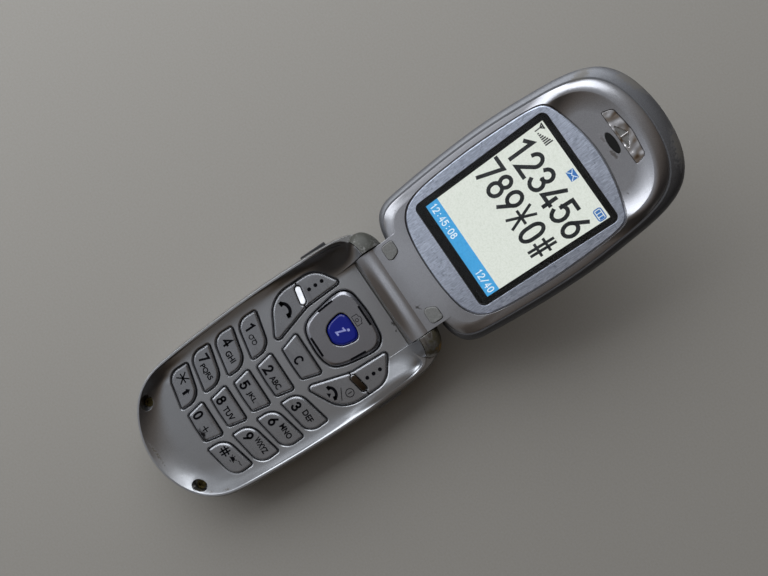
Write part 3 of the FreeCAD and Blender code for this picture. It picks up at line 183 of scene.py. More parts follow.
def silver_paint(name, dark, light, stains_and_shade=(), leans=(), matt=0.0):
    """Sprayed silver: aluminium flakes in a satin lacquer over plastic, which gives a
    soft metallic sheen with a fine sparkle, duller where hands have rubbed it."""
    material, tree, shader, place = new_material(name)
    flakes = pattern(tree, place, FLAKE_SIZE, 2.0)
    clouds = pattern(tree, place, 16.0, 2.0)
    colour = tones(tree, flakes, dark, light, 0.3, 0.7)
    rubs = span(tree, pattern(tree, place, 3.0, 6.0, (1.0, 0.3, 1.0)), 0.0, 0.35, 0.6, 0.75)
    colour = mixed(tree, rubs, colour, linear(dark))
    roughness = span(tree, clouds, 0.3 + matt, 0.35 + matt)
    metallic = span(tree, rubs, 0.94, 0.84, 0.0, 1.0)
    for centre, half, turn, shade, speckle_mm in stains_and_shade:
        mask = stain_and_shade_mask(tree, place, centre, half, turn, speckle_mm)
        colour = mixed(tree, mask, colour, linear(shade))
        roughness = add(tree, "ShaderNodeMix", {
            0: mask, 2: roughness, 3: DIRT_ROUGHNESS,
        }).outputs[0]
        metallic = add(tree, "ShaderNodeMix", {
            0: mask, 2: metallic, 3: DIRT_METALLIC,
        }).outputs[0]
    tree.links.new(grimed_and_shaded(tree, colour), shader.inputs["Base Color"])
    tree.links.new(roughness, shader.inputs["Roughness"])
    tree.links.new(metallic, shader.inputs["Metallic"])
    shader.inputs["Coat Weight"].default_value = 0.1
    shader.inputs["Coat Roughness"].default_value = 0.2
    soft_edges(tree, shader, flakes, 0.003)
    for centre, half, turn, lean in leans:
        # The lean is nearly full in the oval's inner half and fades out at its outline
        fade = span(tree, oval(tree, place, centre, half, turn), 0.85, 0.0, 0.5, 1.1)
        leant(tree, shader, fade, lean)
    return material


def finish_node(name, material):
    """Gives a CAD node its material in every slot."""
    mesh = NODES[name].data
    if not mesh.materials:
        mesh.materials.append(material)
    for i in range(len(mesh.materials)):
        mesh.materials[i] = material


SOOT = "33302d"
MUD = "4f463a"
# A stain's centre, half sizes, turn, colour and size of its specks
FRONT_STAINS = (
    ((6.3, 34.3, 10.2), (1.3, 0.6, 3.0), 20.0, SOOT, 0.4),
    ((8.4, 33.9, 10.2), (0.6, 0.4, 3.0), -30.0, SOOT, 0.4),
    ((18.3, -28.4, 11.0), (0.5, 2.0, 2.5), -16.0, MUD, 0.4),
    ((16.6, -31.8, 11.0), (0.4, 1.4, 2.5), -35.0, MUD, 0.4),
    ((-1.0, -38.9, 11.5), (8.5, 0.5, 2.0), 2.0, MUD, 0.35),
    ((-13.4, -33.9, 8.0), (2.6, 1.7, 3.4), -32.0, "1b1512", 2.0),
    ((13.4, -33.9, 8.0), (2.6, 1.7, 3.4), 32.0, "45412a", 2.0),
)
# The shoulders' and the dish's walls are rather flat, so their shading is leant: an
# oval's centre, half sizes and turn, and the direction to which the shading turns there
FRONT_LEANS = (
    ((-18.2, 32.6, 11.0), (5.6, 12.5, 10.0), 4.0, (0.66, -0.12, 0.7)),
    ((17.8, 27.0, 11.0), (4.2, 7.0, 7.0), 0.0, (-0.26, -0.06, 0.94)),
    ((-20.0, -4.0, 11.5), (3.4, 30.0, 3.4), 1.5, (0.08, 0.0, 1.0)),
    ((19.6, -4.0, 11.5), (3.0, 30.0, 3.4), -1.5, (-0.09, -0.03, 1.0)),
    ((17.0, -27.0, 11.0), (13.0, 5.0, 5.0), 72.0, (-0.1, 0.06, 1.0)),
    ((20.8, 24.0, 11.5), (2.2, 12.0, 4.0), 0.0, (0.2, 0.0, 1.0)),
)
# The hinge knuckles: dull worn paint and dirt, and on the right knuckle also painted shade and a
# painted warm reflection
REAR_WEAR_AND_SHADE = (
    # Right knuckle: an olive patch and a dark line that are wear and painted shade, and a gold patch
    # that is a painted warm reflection
    ((16.6, 42.0, 15.0), (6.0, 8.0, 8.0), 0.0, "4a4535", 1.6),
    ((19.0, 41.8, 14.0), (2.4, 2.2, 8.0), 20.0, "8a6c34", 0.8),
    ((16.0, 45.2, 15.0), (3.6, 1.3, 8.0), -30.0, "1f1a16", 0.9),
    ((-18.5, 40.5, 18.5), (11.0, 10.0, 10.0), 0.0, "3c3c35", 0.5),
    ((-18.5, 40.5, 19.0), (9.0, 9.0, 9.0), 0.0, "34342e", 2.0),
)
front_paint = silver_paint("silver_paint_base", "98999c", "adaeb1", FRONT_STAINS, FRONT_LEANS)
finish_node("front_housing", front_paint)
finish_node("rear_housing", silver_paint("silver_paint_rear", "858484", "9b9a99", REAR_WEAR_AND_SHADE))


# Battery
# The battery's case is the phone's back: moulded ABS in the same silver, a
# little duller from the hand, held by a sliding latch at the hinge end.

finish_node("battery_pack", silver_paint("silver_paint_battery", "8b8b8e", "a0a0a3"))
finish_node("battery_latch", silver_paint("silver_paint_latch", "858588", "9a9a9d"))


# Number, clear and soft keys
# Each key is a moulded polycarbonate cap, painted silver under a hard clear
# lacquer, and glued on the silicone mat below the front shell.

KEY_NAMES = [n for n in NODES if n.startswith("key_") and n != "key_mat"]
KEY_NAMES += ["soft_key_left", "soft_key_right", "call_key", "end_key"]
# A dark smear on the zero key: centre, half sizes, turn and size of its specks
SMEAR = ((2.7, -26.1, 10.5), (2.6, 1.15, 2.0), -8.0, 0.9)

# The lacquer mirrors a little more sharply than the shells' paint, over soft edges
key_paint, tree, shader, place = new_material("lacquered_silver_key")
key_clouds = pattern(tree, place, 6.0, 2.0)
key_flakes = pattern(tree, place, FLAKE_SIZE, 2.0)
key_colour = tones(tree, key_flakes, "8c8d91", "9fa0a4", 0.3, 0.7)
scuffs = span(tree, pattern(tree, place, 1.8, 6.0, (0.2, 1.0, 1.0)), 0.0, 0.45, 0.62, 0.76)
key_colour = mixed(tree, scuffs, key_colour, linear("6f6c6e"))
key_colour = mixed(tree, stain_and_shade_mask(tree, place, *SMEAR), key_colour, linear("141216"))
tree.links.new(grimed_and_shaded(tree, key_colour), shader.inputs["Base Color"])
tree.links.new(span(tree, key_clouds, 0.24, 0.32), shader.inputs["Roughness"])
shader.inputs["Metallic"].default_value = 0.9
shader.inputs["Coat Weight"].default_value = 0.3
shader.inputs["Coat Roughness"].default_value = 0.12
soft_edges(tree, shader, key_clouds, 0.02, 0.6)
for key in KEY_NAMES:
    finish_node(key, key_paint)


# Legends on the keys
# Pad printed in near black ink after painting: bold numbers, light letters
# and plain signs. The ink stands a hair's width proud.

INK_THICKNESS = 0.03
INK_SINK = 0.01


def ink_heights(node):
    """Lowest and highest level in mm of the printing on a key's top."""
    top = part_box(node)[1].z / MM
    return top - INK_SINK, top + INK_THICKNESS


INK_Z = ink_heights("key_1")

# The ink is matt, so it stays black and mirrors next to nothing
ink, tree, shader, place = new_material("black_pad_printing_ink")
ink_colour = tones(tree, pattern(tree, place, 0.5), "030306", "08080d")
tree.links.new(ink_colour, shader.inputs["Base Color"])
tree.links.new(span(tree, pattern(tree, place, 1.5), 0.5, 0.65), shader.inputs["Roughness"])
shader.inputs["Specular IOR Level"].default_value = 0.05


def solid_from_curve(name, curve):
    """Plain mesh object from a curve or text, which is then removed."""
    holder = bpy.data.objects.new(name + ".curve", curve)
    bpy.context.scene.collection.objects.link(holder)
    bpy.context.view_layer.update()
    seen = holder.evaluated_get(bpy.context.evaluated_depsgraph_get())
    mesh = bpy.data.meshes.new_from_object(seen)
    bpy.data.objects.remove(holder)
    bpy.data.curves.remove(curve)
    welded = bmesh.new()
    welded.from_mesh(mesh)
    bpy.data.meshes.remove(mesh)
    bmesh.ops.remove_doubles(welded, verts=welded.verts, dist=1e-7)
    return solid(name, welded)


def solid(name, built):
    """Linked object from a finished bmesh, with its faces turned outwards."""
    bmesh.ops.recalc_face_normals(built, faces=built.faces)
    mesh = bpy.data.meshes.new(name)
    built.to_mesh(mesh)
    built.free()
    piece = bpy.data.objects.new(name, mesh)
    bpy.context.scene.collection.objects.link(piece)
    return piece


def flat_shape(name, outlines, z0, z1):
    """Thin solid between two heights in mm; an outline inside another is a hole."""
    curve = bpy.data.curves.new(name + ".flat", "CURVE")
    curve.dimensions = "2D"
    curve.fill_mode = "BOTH"
    curve.extrude = (z1 - z0) / 2 * MM
    for outline in outlines:
        spline = curve.splines.new("POLY")
        spline.points.add(len(outline) - 1)
        for point, (x, y) in zip(spline.points, outline):
            point.co = (x * MM, y * MM, 0.0, 1.0)
        spline.use_cyclic_u = True
    piece = solid_from_curve(name, curve)
    piece.data.transform(Matrix.Translation((0, 0, (z0 + z1) / 2 * MM)))
    return piece


def lettering(name, text, centre, size, weight, z0, z1):
    """Thin solid letters that fill size (width, height) in mm about a centre."""
    curve = bpy.data.curves.new(name + ".text", "FONT")
    curve.body = text
    curve.size = 1.0
    curve.extrude = 0.01
    curve.offset = weight
    curve.resolution_u = 6
    piece = solid_from_curve(name, curve)
    lows = [min(v.co[i] for v in piece.data.vertices) for i in range(3)]
    highs = [max(v.co[i] for v in piece.data.vertices) for i in range(3)]
    wanted = (size[0], size[1], z1 - z0)
    scale = [w * MM / (h - l) for w, h, l in zip(wanted, highs, lows)]
    middle = [(h + l) / 2 for h, l in zip(highs, lows)]
    target = Vector((centre[0], centre[1], (z0 + z1) / 2)) * MM
    to_middle = Matrix.Translation([-m for m in middle])
    grown = Matrix.Diagonal((*scale, 1.0))
    piece.data.transform(Matrix.Translation(target) @ grown @ to_middle)
    return piece


def arc(cx, cy, rx, ry, start, end, steps=12):
    """Points along part of an oval; angles in degrees."""
    turns = [math.radians(start + (end - start) * i / steps) for i in range(steps + 1)]
    return [(cx + rx * math.cos(t), cy + ry * math.sin(t)) for t in turns]


def ribbon(name, lines, width, z0, z1, ends=0.5):
    """Thin solid lines of one width in mm along lists of points. A line that ends where
    it starts is a loop; an open one reaches past its ends by a share of the width."""
    built = bmesh.new()
    for line in lines:
        points = [Vector(p) for p in line]
        loop = (points[0] - points[-1]).length < 1e-6
        if loop:
            points.pop()
        else:
            points[0] += (points[0] - points[1]).normalized() * width * ends
            points[-1] += (points[-1] - points[-2]).normalized() * width * ends
        count = len(points)
        sections = []
        for i, point in enumerate(points):
            before = point - points[i - 1] if loop or i else points[1] - point
            after = points[(i + 1) % count] - point if loop or i < count - 1 else before
            ahead = (before.normalized() + after.normalized()).normalized()
            reach = width / 2 / max(0.4, ahead.dot(before.normalized()))
            side = Vector((-ahead.y, ahead.x)) * reach
            left, right = point + side, point - side
            corners = [(left, z0), (right, z0), (right, z1), (left, z1)]
            sections.append([built.verts.new(Vector((p.x, p.y, z)) * MM) for p, z in corners])
        for i in range(count if loop else count - 1):
            a, b = sections[i], sections[(i + 1) % count]
            for j in range(4):
                built.faces.new((a[j], b[j], b[(j + 1) % 4], a[(j + 1) % 4]))
        if not loop:
            built.faces.new(sections[0])
            built.faces.new(sections[-1])
    return solid(name, built)


# Centre lines of the figures in a unit square
FIGURES = {
    "0": [arc(0.5, 0.62, 0.5, 0.38, 0, 180) + arc(0.5, 0.38, 0.5, 0.38, 180, 360) + [(1.0, 0.62)]],
    "1": [[(0.0, 0.82), (1.0, 1.0), (1.0, 0.0)]],
    "2": [arc(0.5, 0.72, 0.47, 0.28, 170, -32) + [(0.0, 0.0), (1.0, 0.0)]],
    "3": [arc(0.46, 0.76, 0.46, 0.24, 165, -85), arc(0.46, 0.27, 0.54, 0.27, 88, -160)],
    "4": [[(0.74, 0.0), (0.74, 1.0), (0.0, 0.3), (1.0, 0.3)]],
    "open 4": [[(0.74, 1.0), (0.0, 0.2), (1.0, 0.2)], [(0.8, 0.52), (0.8, 0.0)]],
    "5": [[(0.92, 1.0), (0.14, 1.0), (0.1, 0.52)], arc(0.46, 0.33, 0.54, 0.33, 135, -155)],
    "6": [arc(0.5, 0.31, 0.5, 0.31, 0, 360, 20), [(0.72, 1.0), (0.07, 0.45)]],
    "7": [[(0.0, 1.0), (1.0, 1.0), (0.36, 0.0)]],
    "8": [arc(0.5, 0.77, 0.42, 0.23, 0, 360, 18), arc(0.5, 0.28, 0.5, 0.28, 0, 360, 20)],
    "9": [arc(0.5, 0.69, 0.5, 0.31, 0, 360, 20), [(0.28, 0.0), (0.93, 0.55)]],
    "C": [arc(0.56, 0.5, 0.56, 0.5, 50, 310, 18)],
    "#": [
        [(0.27, 0.0), (0.35, 1.0)], [(0.65, 0.0), (0.73, 1.0)],
        [(0.0, 0.32), (1.0, 0.32)], [(0.0, 0.7), (1.0, 0.7)],
    ],
    "*": [[(0.1, 0.0), (0.9, 1.0)], [(0.9, 0.0), (0.1, 1.0)], [(0.0, 0.5), (1.0, 0.5)]],
    "+": [[(0.0, 0.5), (1.0, 0.5)], [(0.5, 0.0), (0.5, 1.0)]],
    "/": [[(0.0, 0.0), (1.0, 1.0)]],
    ":": [[(0.5, 0.18), (0.5, 0.22)], [(0.5, 0.7), (0.5, 0.74)]],
}


def figure(sign, centre, size, stroke, z0, z1):
    """One figure drawn with a stroke in mm, filling size in mm about a centre."""
    fit = [size[i] - stroke for i in (0, 1)]
    lines = [[tuple(centre[i] + (p[i] - 0.5) * fit[i] for i in (0, 1)) for p in line]
             for line in FIGURES[sign]]
    return ribbon("figure", lines, stroke, z0, z1)


def join(name, pieces):
    """One object from several, at the origin."""
    whole = bmesh.new()
    for piece in pieces:
        whole.from_mesh(piece.data)
        mesh = piece.data
        bpy.data.objects.remove(piece)
        bpy.data.meshes.remove(mesh)
    mesh = bpy.data.meshes.new(name)
    whole.to_mesh(mesh)
    whole.free()
    joined = bpy.data.objects.new(name, mesh)
    bpy.context.scene.collection.objects.link(joined)
    return joined


def ink_on(key, pieces, material=ink):
    """Joins a key's printing, gives it the ink and lets it ride on the key."""
    printing = join("print_" + key, pieces)
    printing.data.materials.append(material)
    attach(printing, key)


# Strokes in mm
BOLD = 0.6
PLUS_STROKE = 0.3
TAPE_STROKE = 0.24
STAR_STROKE = 0.36
HASH_STROKE = 0.42
BELL_STROKE = 0.2
WAVE_STROKE = 0.17
CLEAR_STROKE = 0.55
LETTER_HEIGHT = 1.75
LETTER_WEIGHT = 0.03
SPOOL_RADIUS = 0.6

# Each key's number, its centre, and its width and height
NUMBERS = {
    "key_1": ("1", (-15.1, 0.9), (1.3, 3.0)),
    "key_2": ("2", (-2.4, -1.25), (2.0, 3.1)),
    "key_3": ("3", (10.3, -0.4), (1.9, 3.1)),
    "key_4": ("4", (-15.1, -6.55), (2.15, 3.1)),
    "key_5": ("5", (-2.55, -9.05), (1.95, 3.1)),
    "key_6": ("6", (10.05, -7.95), (1.95, 3.15)),
    "key_7": ("7", (-15.0, -14.45), (2.0, 3.0)),
    "key_8": ("8", (-2.65, -16.75), (1.95, 3.1)),
    "key_9": ("9", (9.8, -15.9), (1.95, 3.1)),
    "key_0": ("0", (-2.8, -24.35), (1.9, 3.1)),
}
# The letters beside it, their centre and width
LETTERS = {
    "key_2": ("ABC", (1.6, -1.55), 4.0),
    "key_3": ("DEF", (14.25, 0.8), 3.6),
    "key_4": ("GHI", (-11.2, -8.1), 3.5),
    "key_5": ("JKL", (1.3, -9.3), 3.5),
    "key_6": ("MNO", (14.3, -6.5), 4.4),
    "key_7": ("PQRS", (-11.45, -16.0), 4.85),
    "key_8": ("TUV", (1.5, -17.0), 4.1),
    "key_9": ("WXYZ", (13.7, -14.3), 4.85),
}


def tape_sign():
    """Two spools with the tape along their top."""
    spools = [arc(x, y, SPOOL_RADIUS, SPOOL_RADIUS, 0, 360, 20)
              for x, y in ((-12.55, -0.3), (-10.8, -0.38))]
    return ribbon("tape", spools + [[(-12.55, 0.32), (-10.5, 0.24)]], TAPE_STROKE, *INK_Z)


for key, (number, centre, size) in NUMBERS.items():
    pieces = [figure(number, centre, size, BOLD, *INK_Z)]
    if key in LETTERS:
        text, centre, width = LETTERS[key]
        size = (width, LETTER_HEIGHT)
        pieces.append(lettering(key, text, centre, size, LETTER_WEIGHT, *INK_Z))
    if key == "key_1":
        pieces.append(tape_sign())
    if key == "key_0":
        pieces.append(figure("+", (1.5, -24.7), (1.9, 1.9), PLUS_STROKE, *INK_Z))
    ink_on(key, pieces)

star = figure("*", (-13.65, -22.35), (2.9, 3.0), STAR_STROKE, *INK_Z)
arrow_line = [
    (-10.0, -22.4), (-9.2, -23.4), (-9.6, -23.4), (-9.6, -24.8),
    (-10.4, -24.8), (-10.4, -23.4), (-10.8, -23.4),
]
ink_on("key_star", [star, flat_shape("arrow", [arrow_line], *INK_Z)])

# A bell: its body, its rim and clapper, three lines of its ringing, and a wave
bell = flat_shape("bell", [arc(12.45, -23.1, 0.72, 0.8, 0, 180, 10)], *INK_Z)
bell_lines = [
    [(11.55, -23.2), (13.35, -23.2)], [(12.2, -23.7), (12.7, -23.7)],
    [(11.5, -22.3), (11.75, -22.6)], [(12.2, -21.95), (12.25, -22.2)],
    [(13.3, -22.2), (13.1, -22.5)],
]
wave_line = [(13.7, -21.95), (14.15, -21.75), (14.7, -21.95), (15.3, -21.75)]
ink_on("key_hash", [
    figure("#", (9.55, -23.55), (2.7, 2.9), HASH_STROKE, *INK_Z), bell,
    ribbon("bell_lines", bell_lines, BELL_STROKE, *INK_Z),
    ribbon("wave", [wave_line], WAVE_STROKE, *INK_Z),
])

ink_on("key_clear", [figure("C", (0.05, 7.15), (2.1, 2.85), CLEAR_STROKE, *INK_Z)])


# Signs on the soft, call and end keys
# The same black printing: three dots on each soft key, a lifted handset on the
# call key, and a laid down handset with an off sign on the end key.

DOT_RADIUS = 0.55
DOT_PITCH = 2.08
DOT_COUNT = 3
SLASH_STROKE = 0.2
OFF_STROKE = 0.22
OFF_RADIUS = 1.15


def dot_row(name, body, x, y):
    """Row of printed dots, repeated by a node tree and turned into a mesh."""
    tree = bpy.data.node_groups.new(name, "GeometryNodeTree")
    sockets = tree.interface
    sockets.new_socket("Geometry", in_out="OUTPUT", socket_type="NodeSocketGeometry")
    for label in ("Dot radius", "Pitch", "Thickness"):
        sockets.new_socket(label, in_out="INPUT", socket_type="NodeSocketFloat")
    sockets.new_socket("Count", in_out="INPUT", socket_type="NodeSocketInt")
    given = add(tree, "NodeGroupInput").outputs
    step = add(tree, "ShaderNodeCombineXYZ", {"Y": given["Pitch"]}).outputs[0]
    line = add(tree, "GeometryNodeMeshLine", {"Count": given["Count"], "Offset": step}, mode="OFFSET")
    dot = add(tree, "GeometryNodeMeshCylinder", {
        "Vertices": 20, "Radius": given["Dot radius"], "Depth": given["Thickness"],
    })
    copies = add(tree, "GeometryNodeInstanceOnPoints", {
        "Points": line.outputs["Mesh"], "Instance": dot.outputs["Mesh"],
    })
    real = add(tree, "GeometryNodeRealizeInstances", {"Geometry": copies.outputs["Instances"]})
    inked = add(tree, "GeometryNodeSetMaterial", {
        "Geometry": real.outputs["Geometry"], "Material": ink,
    })
    add(tree, "NodeGroupOutput", {"Geometry": inked.outputs["Geometry"]})
    holder = bpy.data.objects.new(name + ".row", bpy.data.meshes.new(name + ".row"))
    bpy.context.scene.collection.objects.link(holder)
    modifier = holder.modifiers.new("dots", "NODES")
    modifier.node_group = tree
    sizes = {
        "Dot radius": DOT_RADIUS * MM,
        "Pitch": -DOT_PITCH * MM,
        "Thickness": (INK_THICKNESS + INK_SINK) * MM,
        "Count": DOT_COUNT,
    }
    for item in sockets.items_tree:
        if item.in_out == "INPUT":
            modifier[item.identifier] = sizes[item.name]
    bpy.context.view_layer.update()
    seen = holder.evaluated_get(bpy.context.evaluated_depsgraph_get())
    mesh = bpy.data.meshes.new_from_object(seen)
    bpy.data.objects.remove(holder)
    mesh.transform(Matrix.Translation(Vector((x, y, sum(INK_Z) / 2)) * MM))
    dots = bpy.data.objects.new(name, mesh)
    bpy.context.scene.collection.objects.link(dots)
    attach(dots, body)


dot_row("dots_left", "soft_key_left", -14.55, 24.5)
dot_row("dots_right", "soft_key_right", 14.6, 24.35)


def handset(cx, cy, scale):
    """Receiver seen from the side: a curved grip with a pad at each end."""
    grip = arc(cx, cy, 2.0 * scale, 1.55 * scale, 165, 15)
    pads = []
    for side in (-1, 1):
        top = (cx + side * 1.98 * scale, cy + 0.78 * scale)
        foot = (cx + side * 1.84 * scale, cy - 0.24 * scale)
        pads.append([top, foot])
    return [
        ribbon("grip", [grip], 0.95 * scale, *INK_Z),
        ribbon("pads", pads, 1.4 * scale, *INK_Z, ends=0.0),
    ]


ink_on("call_key", handset(-13.6, 11.35, 1.0))
wedge = flat_shape("wedge", [[(12.65, 9.5), (13.4, 8.5), (11.9, 8.5)]], *INK_Z)
slash = ribbon("slash", [[(12.9, 12.6), (15.85, 11.0)]], SLASH_STROKE, *INK_Z)
ring_and_bar = [
    arc(15.35, 13.95, OFF_RADIUS, OFF_RADIUS, 0, 360, 28),
    [(15.35, 13.45), (15.35, 14.45)],
]
off = ribbon("off", ring_and_bar, OFF_STROKE, *INK_Z)
ink_on("end_key", handset(12.65, 9.5, 0.86) + [wedge, slash, off])


# Navigation key and its signs
# A raised rocking cap in the same lacquered silver, brighter on its bevel,
# with four printed bars and a small camera sign.

NAV_INK_Z = ink_heights("nav_key")
NAV_BAR_STROKE = 0.62
CAMERA_STROKE = 0.15
LENS_RADIUS = 0.45

# The lacquer is polished here, so it mirrors more sharply than on the other keys
nav_paint, tree, shader, place = new_material("polished_silver_lacquer")
nav_clouds = pattern(tree, place, 8.0, 2.0)
nav_flakes = pattern(tree, place, FLAKE_SIZE, 2.0)
nav_colour = tones(tree, nav_flakes, "8a8a8f", "9e9ea4", 0.3, 0.7)
nav_rubs = span(tree, pattern(tree, place, 2.2, 6.0, (1.0, 0.2, 1.0)), 0.0, 0.35, 0.64, 0.77)
tree.links.new(mixed(tree, nav_rubs, nav_colour, linear("737073")), shader.inputs["Base Color"])
tree.links.new(span(tree, nav_clouds, 0.2, 0.26), shader.inputs["Roughness"])
shader.inputs["Metallic"].default_value = 0.9
shader.inputs["Coat Weight"].default_value = 0.35
shader.inputs["Coat Roughness"].default_value = 0.1
soft_edges(tree, shader, nav_clouds, 0.02, 0.5)
finish_node("nav_key", nav_paint)

nav_bars = [
    [(-3.1, 29.05), (3.15, 29.05)], [(-3.1, 13.35), (3.0, 13.35)],
    [(-8.35, 23.9), (-7.95, 19.0)], [(8.4, 23.9), (8.0, 19.1)],
]
camera_line = [
    (-1.6, 27.4), (-1.6, 25.8), (1.4, 25.8), (1.4, 27.35), (0.75, 27.5),
    (0.45, 27.9), (-0.45, 27.9), (-0.75, 27.55), (-1.6, 27.4),
]
lens_line = arc(-0.1, 26.6, LENS_RADIUS, LENS_RADIUS, 0, 360, 18)
ink_on("nav_key", [
    ribbon("bars", nav_bars, NAV_BAR_STROKE, *NAV_INK_Z, ends=0.0),
    ribbon("camera_sign", [camera_line, lens_line], CAMERA_STROKE, *NAV_INK_Z),
])


# Centre key
# A clear polycarbonate button tinted deep blue, polished like a gem, with a
# pale slanted letter i printed on top.

CENTRE_INK_Z = ink_heights("centre_key")
STEM_STROKE = 0.5

# Deep blue where one looks straight into it, and darker at a slant. Polycarbonate has an
# IOR of 1.58; the lower one mirrors as little as the photographed key does
blue, tree, shader, place = new_material("blue_tinted_polycarbonate")
# The darker blue at a slant is painted shade, standing in for the deeper look of clear tinted plastic
# at its rounded edges
slant_shade = add(tree, "ShaderNodeLayerWeight", {"Blend": 0.35}).outputs["Facing"]
tree.links.new(tones(tree, slant_shade, "0c1a78", "060e48", 0.1, 0.8), shader.inputs["Base Color"])
tree.links.new(span(tree, pattern(tree, place, 2.0), 0.1, 0.18), shader.inputs["Roughness"])
shader.inputs["IOR"].default_value = 1.45
soft_edges(tree, shader, radius_mm=0.5)
finish_node("centre_key", blue)

pale_ink, tree, shader, place = new_material("pale_lilac_ink")
pale_colour = tones(tree, pattern(tree, place, 0.6), "8286c4", "9da2d8")
tree.links.new(pale_colour, shader.inputs["Base Color"])
shader.inputs["Roughness"].default_value = 0.4
stem_line = [(-0.6, 22.15), (0.42, 22.3), (-0.42, 19.95), (0.62, 20.05)]
dot = flat_shape("dot", [arc(0.82, 23.15, 0.42, 0.4, 0, 342, 19)], *CENTRE_INK_Z)
stem = ribbon("stem", [stem_line], STEM_STROKE, *CENTRE_INK_Z, ends=0.0)
ink_on("centre_key", [stem, dot], pale_ink)


# Divider bars
# Two slim moulded bars between the soft keys and the call and end keys,
# chrome plated and polished, so they mirror the window or the dark room.

# The bars follow the dish, so their shading leans outwards, by this much for each metre
# from the phone's middle line
BAR_LEAN = 20.0

chrome, tree, shader, place = new_material("bright_chrome_plating")
chrome_colour = tones(tree, pattern(tree, place, 3.0), "8c8c8e", "a4a4a6")
tree.links.new(chrome_colour, shader.inputs["Base Color"])
tree.links.new(span(tree, pattern(tree, place, 1.2), 0.05, 0.12), shader.inputs["Roughness"])
shader.inputs["Metallic"].default_value = 1.0
soft_edges(tree, shader, radius_mm=0.35)
outwards = add(tree, "ShaderNodeVectorMath", {
    0: place, 1: (BAR_LEAN, 0.0, 0.0),
}, operation="MULTIPLY").outputs[0]
bar_level = shader.inputs["Normal"].links[0].from_socket
bar_lean = add(tree, "ShaderNodeVectorMath", {0: bar_level, 1: outwards}, operation="ADD").outputs[0]
bar_normal = add(tree, "ShaderNodeVectorMath", {0: bar_lean}, operation="NORMALIZE").outputs[0]
tree.links.new(bar_normal, shader.inputs["Normal"])
finish_node("divider_bars", chrome)


# Earpiece trim
# A thin moulded insert in the earpiece's slot, chrome plated. Such mouldings
# shrink over their ribs, which bends what they mirror.

wavy_chrome, tree, shader, place = new_material("wavy_chrome_plating")
trim_colour = tones(tree, pattern(tree, place, 3.0), "b4b0af", "d0cccb")
tree.links.new(trim_colour, shader.inputs["Base Color"])
tree.links.new(span(tree, pattern(tree, place, 1.2), 0.06, 0.14), shader.inputs["Roughness"])
shader.inputs["Metallic"].default_value = 1.0
soft_edges(tree, shader, pattern(tree, place, 3.2, 1.0), 1.1, 0.3)
finish_node("earpiece_trim", wavy_chrome)


# Lid shells
# The inner shell carries the hinge barrel and the screen, the outer shell the
# small outside window: moulded ABS, silver paint, slightly worn at the rim.

LID_STAINS = (
    ((6.2, 42.5, 16.0), (0.5, 1.9, 4.0), 8.0, SOOT, 1.5),
    ((6.5, 42.3, 16.0), (1.7, 0.5, 4.0), 25.0, SOOT, 1.5),
    ((2.6, 99.4, 37.0), (2.4, 0.8, 3.0), 4.0, "55514f", 0.7),
    ((-2.0, 99.2, 37.0), (2.0, 0.5, 3.0), 0.0, "6a6768", 0.7),
)
# The barrel's left side and its top, the neck, and the bands left and right of the bezel
LID_LEANS = (
    ((0.0, 36.2, 17.0), (16.5, 2.0, 6.0), 0.0, (0.35, -0.35, 0.87)),
    ((0.0, 38.9, 19.0), (16.5, 1.2, 6.0), 0.0, (-0.14, 0.0, 0.98)),
    ((0.0, 47.5, 17.5), (17.0, 6.0, 9.0), 0.0, (-0.06, -0.34, 0.94)),
    ((-19.8, 74.0, 28.0), (3.4, 40.0, 40.0), 0.0, (0.05, -0.34, 0.94)),
    ((20.2, 74.0, 28.0), (3.0, 40.0, 40.0), 0.0, (0.04, -0.33, 0.94)),
)
OUTER_STAINS = (
    ((9.0, 112.0, 38.5), (7.5, 2.4, 6.0), -20.0, "5b5854", 0.5),
    ((-9.0, 112.0, 38.5), (7.0, 2.2, 6.0), 22.0, "605d59", 0.5),
    ((-17.0, 103.0, 36.0), (2.0, 6.0, 6.0), 16.0, "605d59", 0.5),
)
# The hollow round the earpiece is shallow, so its wall's slope is drawn into the shading
HOLLOW_CENTRE = (0.0, 97.2, 36.8)
HOLLOW_HALF = (17.0, 9.2, 30.0)
HOLLOW_SLOPE = 0.42

lid_paint = silver_paint("silver_paint_lid", "9a9a9e", "b0b0b4", LID_STAINS, LID_LEANS)
tree = lid_paint.node_tree
shader = tree.nodes["Principled BSDF"]
place = tree.nodes["Texture Coordinate"].outputs["Object"]
hollow = oval(tree, place, HOLLOW_CENTRE, HOLLOW_HALF, 0.0)
# The slope grows from the flat ground outwards and ends at the rim
wall = add(tree, "ShaderNodeMath", {
    0: span(tree, hollow, 0.0, HOLLOW_SLOPE, 0.62, 0.9),
    1: span(tree, hollow, 1.0, 0.0, 0.94, 1.06),
}, operation="MULTIPLY").outputs[0]
inwards = add(tree, "ShaderNodeVectorMath", {
    0: Vector(HOLLOW_CENTRE) * MM, 1: place,
}, operation="SUBTRACT").outputs[0]
across = add(tree, "ShaderNodeVectorMath", {
    0: inwards, 1: [1.0 / h ** 2 for h in HOLLOW_HALF],
}, operation="MULTIPLY").outputs[0]
downhill = add(tree, "ShaderNodeVectorMath", {0: across}, operation="NORMALIZE").outputs[0]
slope = add(tree, "ShaderNodeVectorMath", {0: downhill, "Scale": wall}, operation="SCALE").outputs[0]
lid_level = shader.inputs["Normal"].links[0].from_socket
sloping = add(tree, "ShaderNodeVectorMath", {0: lid_level, 1: slope}, operation="ADD").outputs[0]
lid_normal = add(tree, "ShaderNodeVectorMath", {0: sloping}, operation="NORMALIZE").outputs[0]
tree.links.new(lid_normal, shader.inputs["Normal"])
finish_node("lid_inner_housing", lid_paint)
outer_paint = silver_paint(
    "silver_paint_lid_outer", "606164", "77787c", OUTER_STAINS, matt=0.2
)
finish_node("lid_outer_housing", outer_paint)


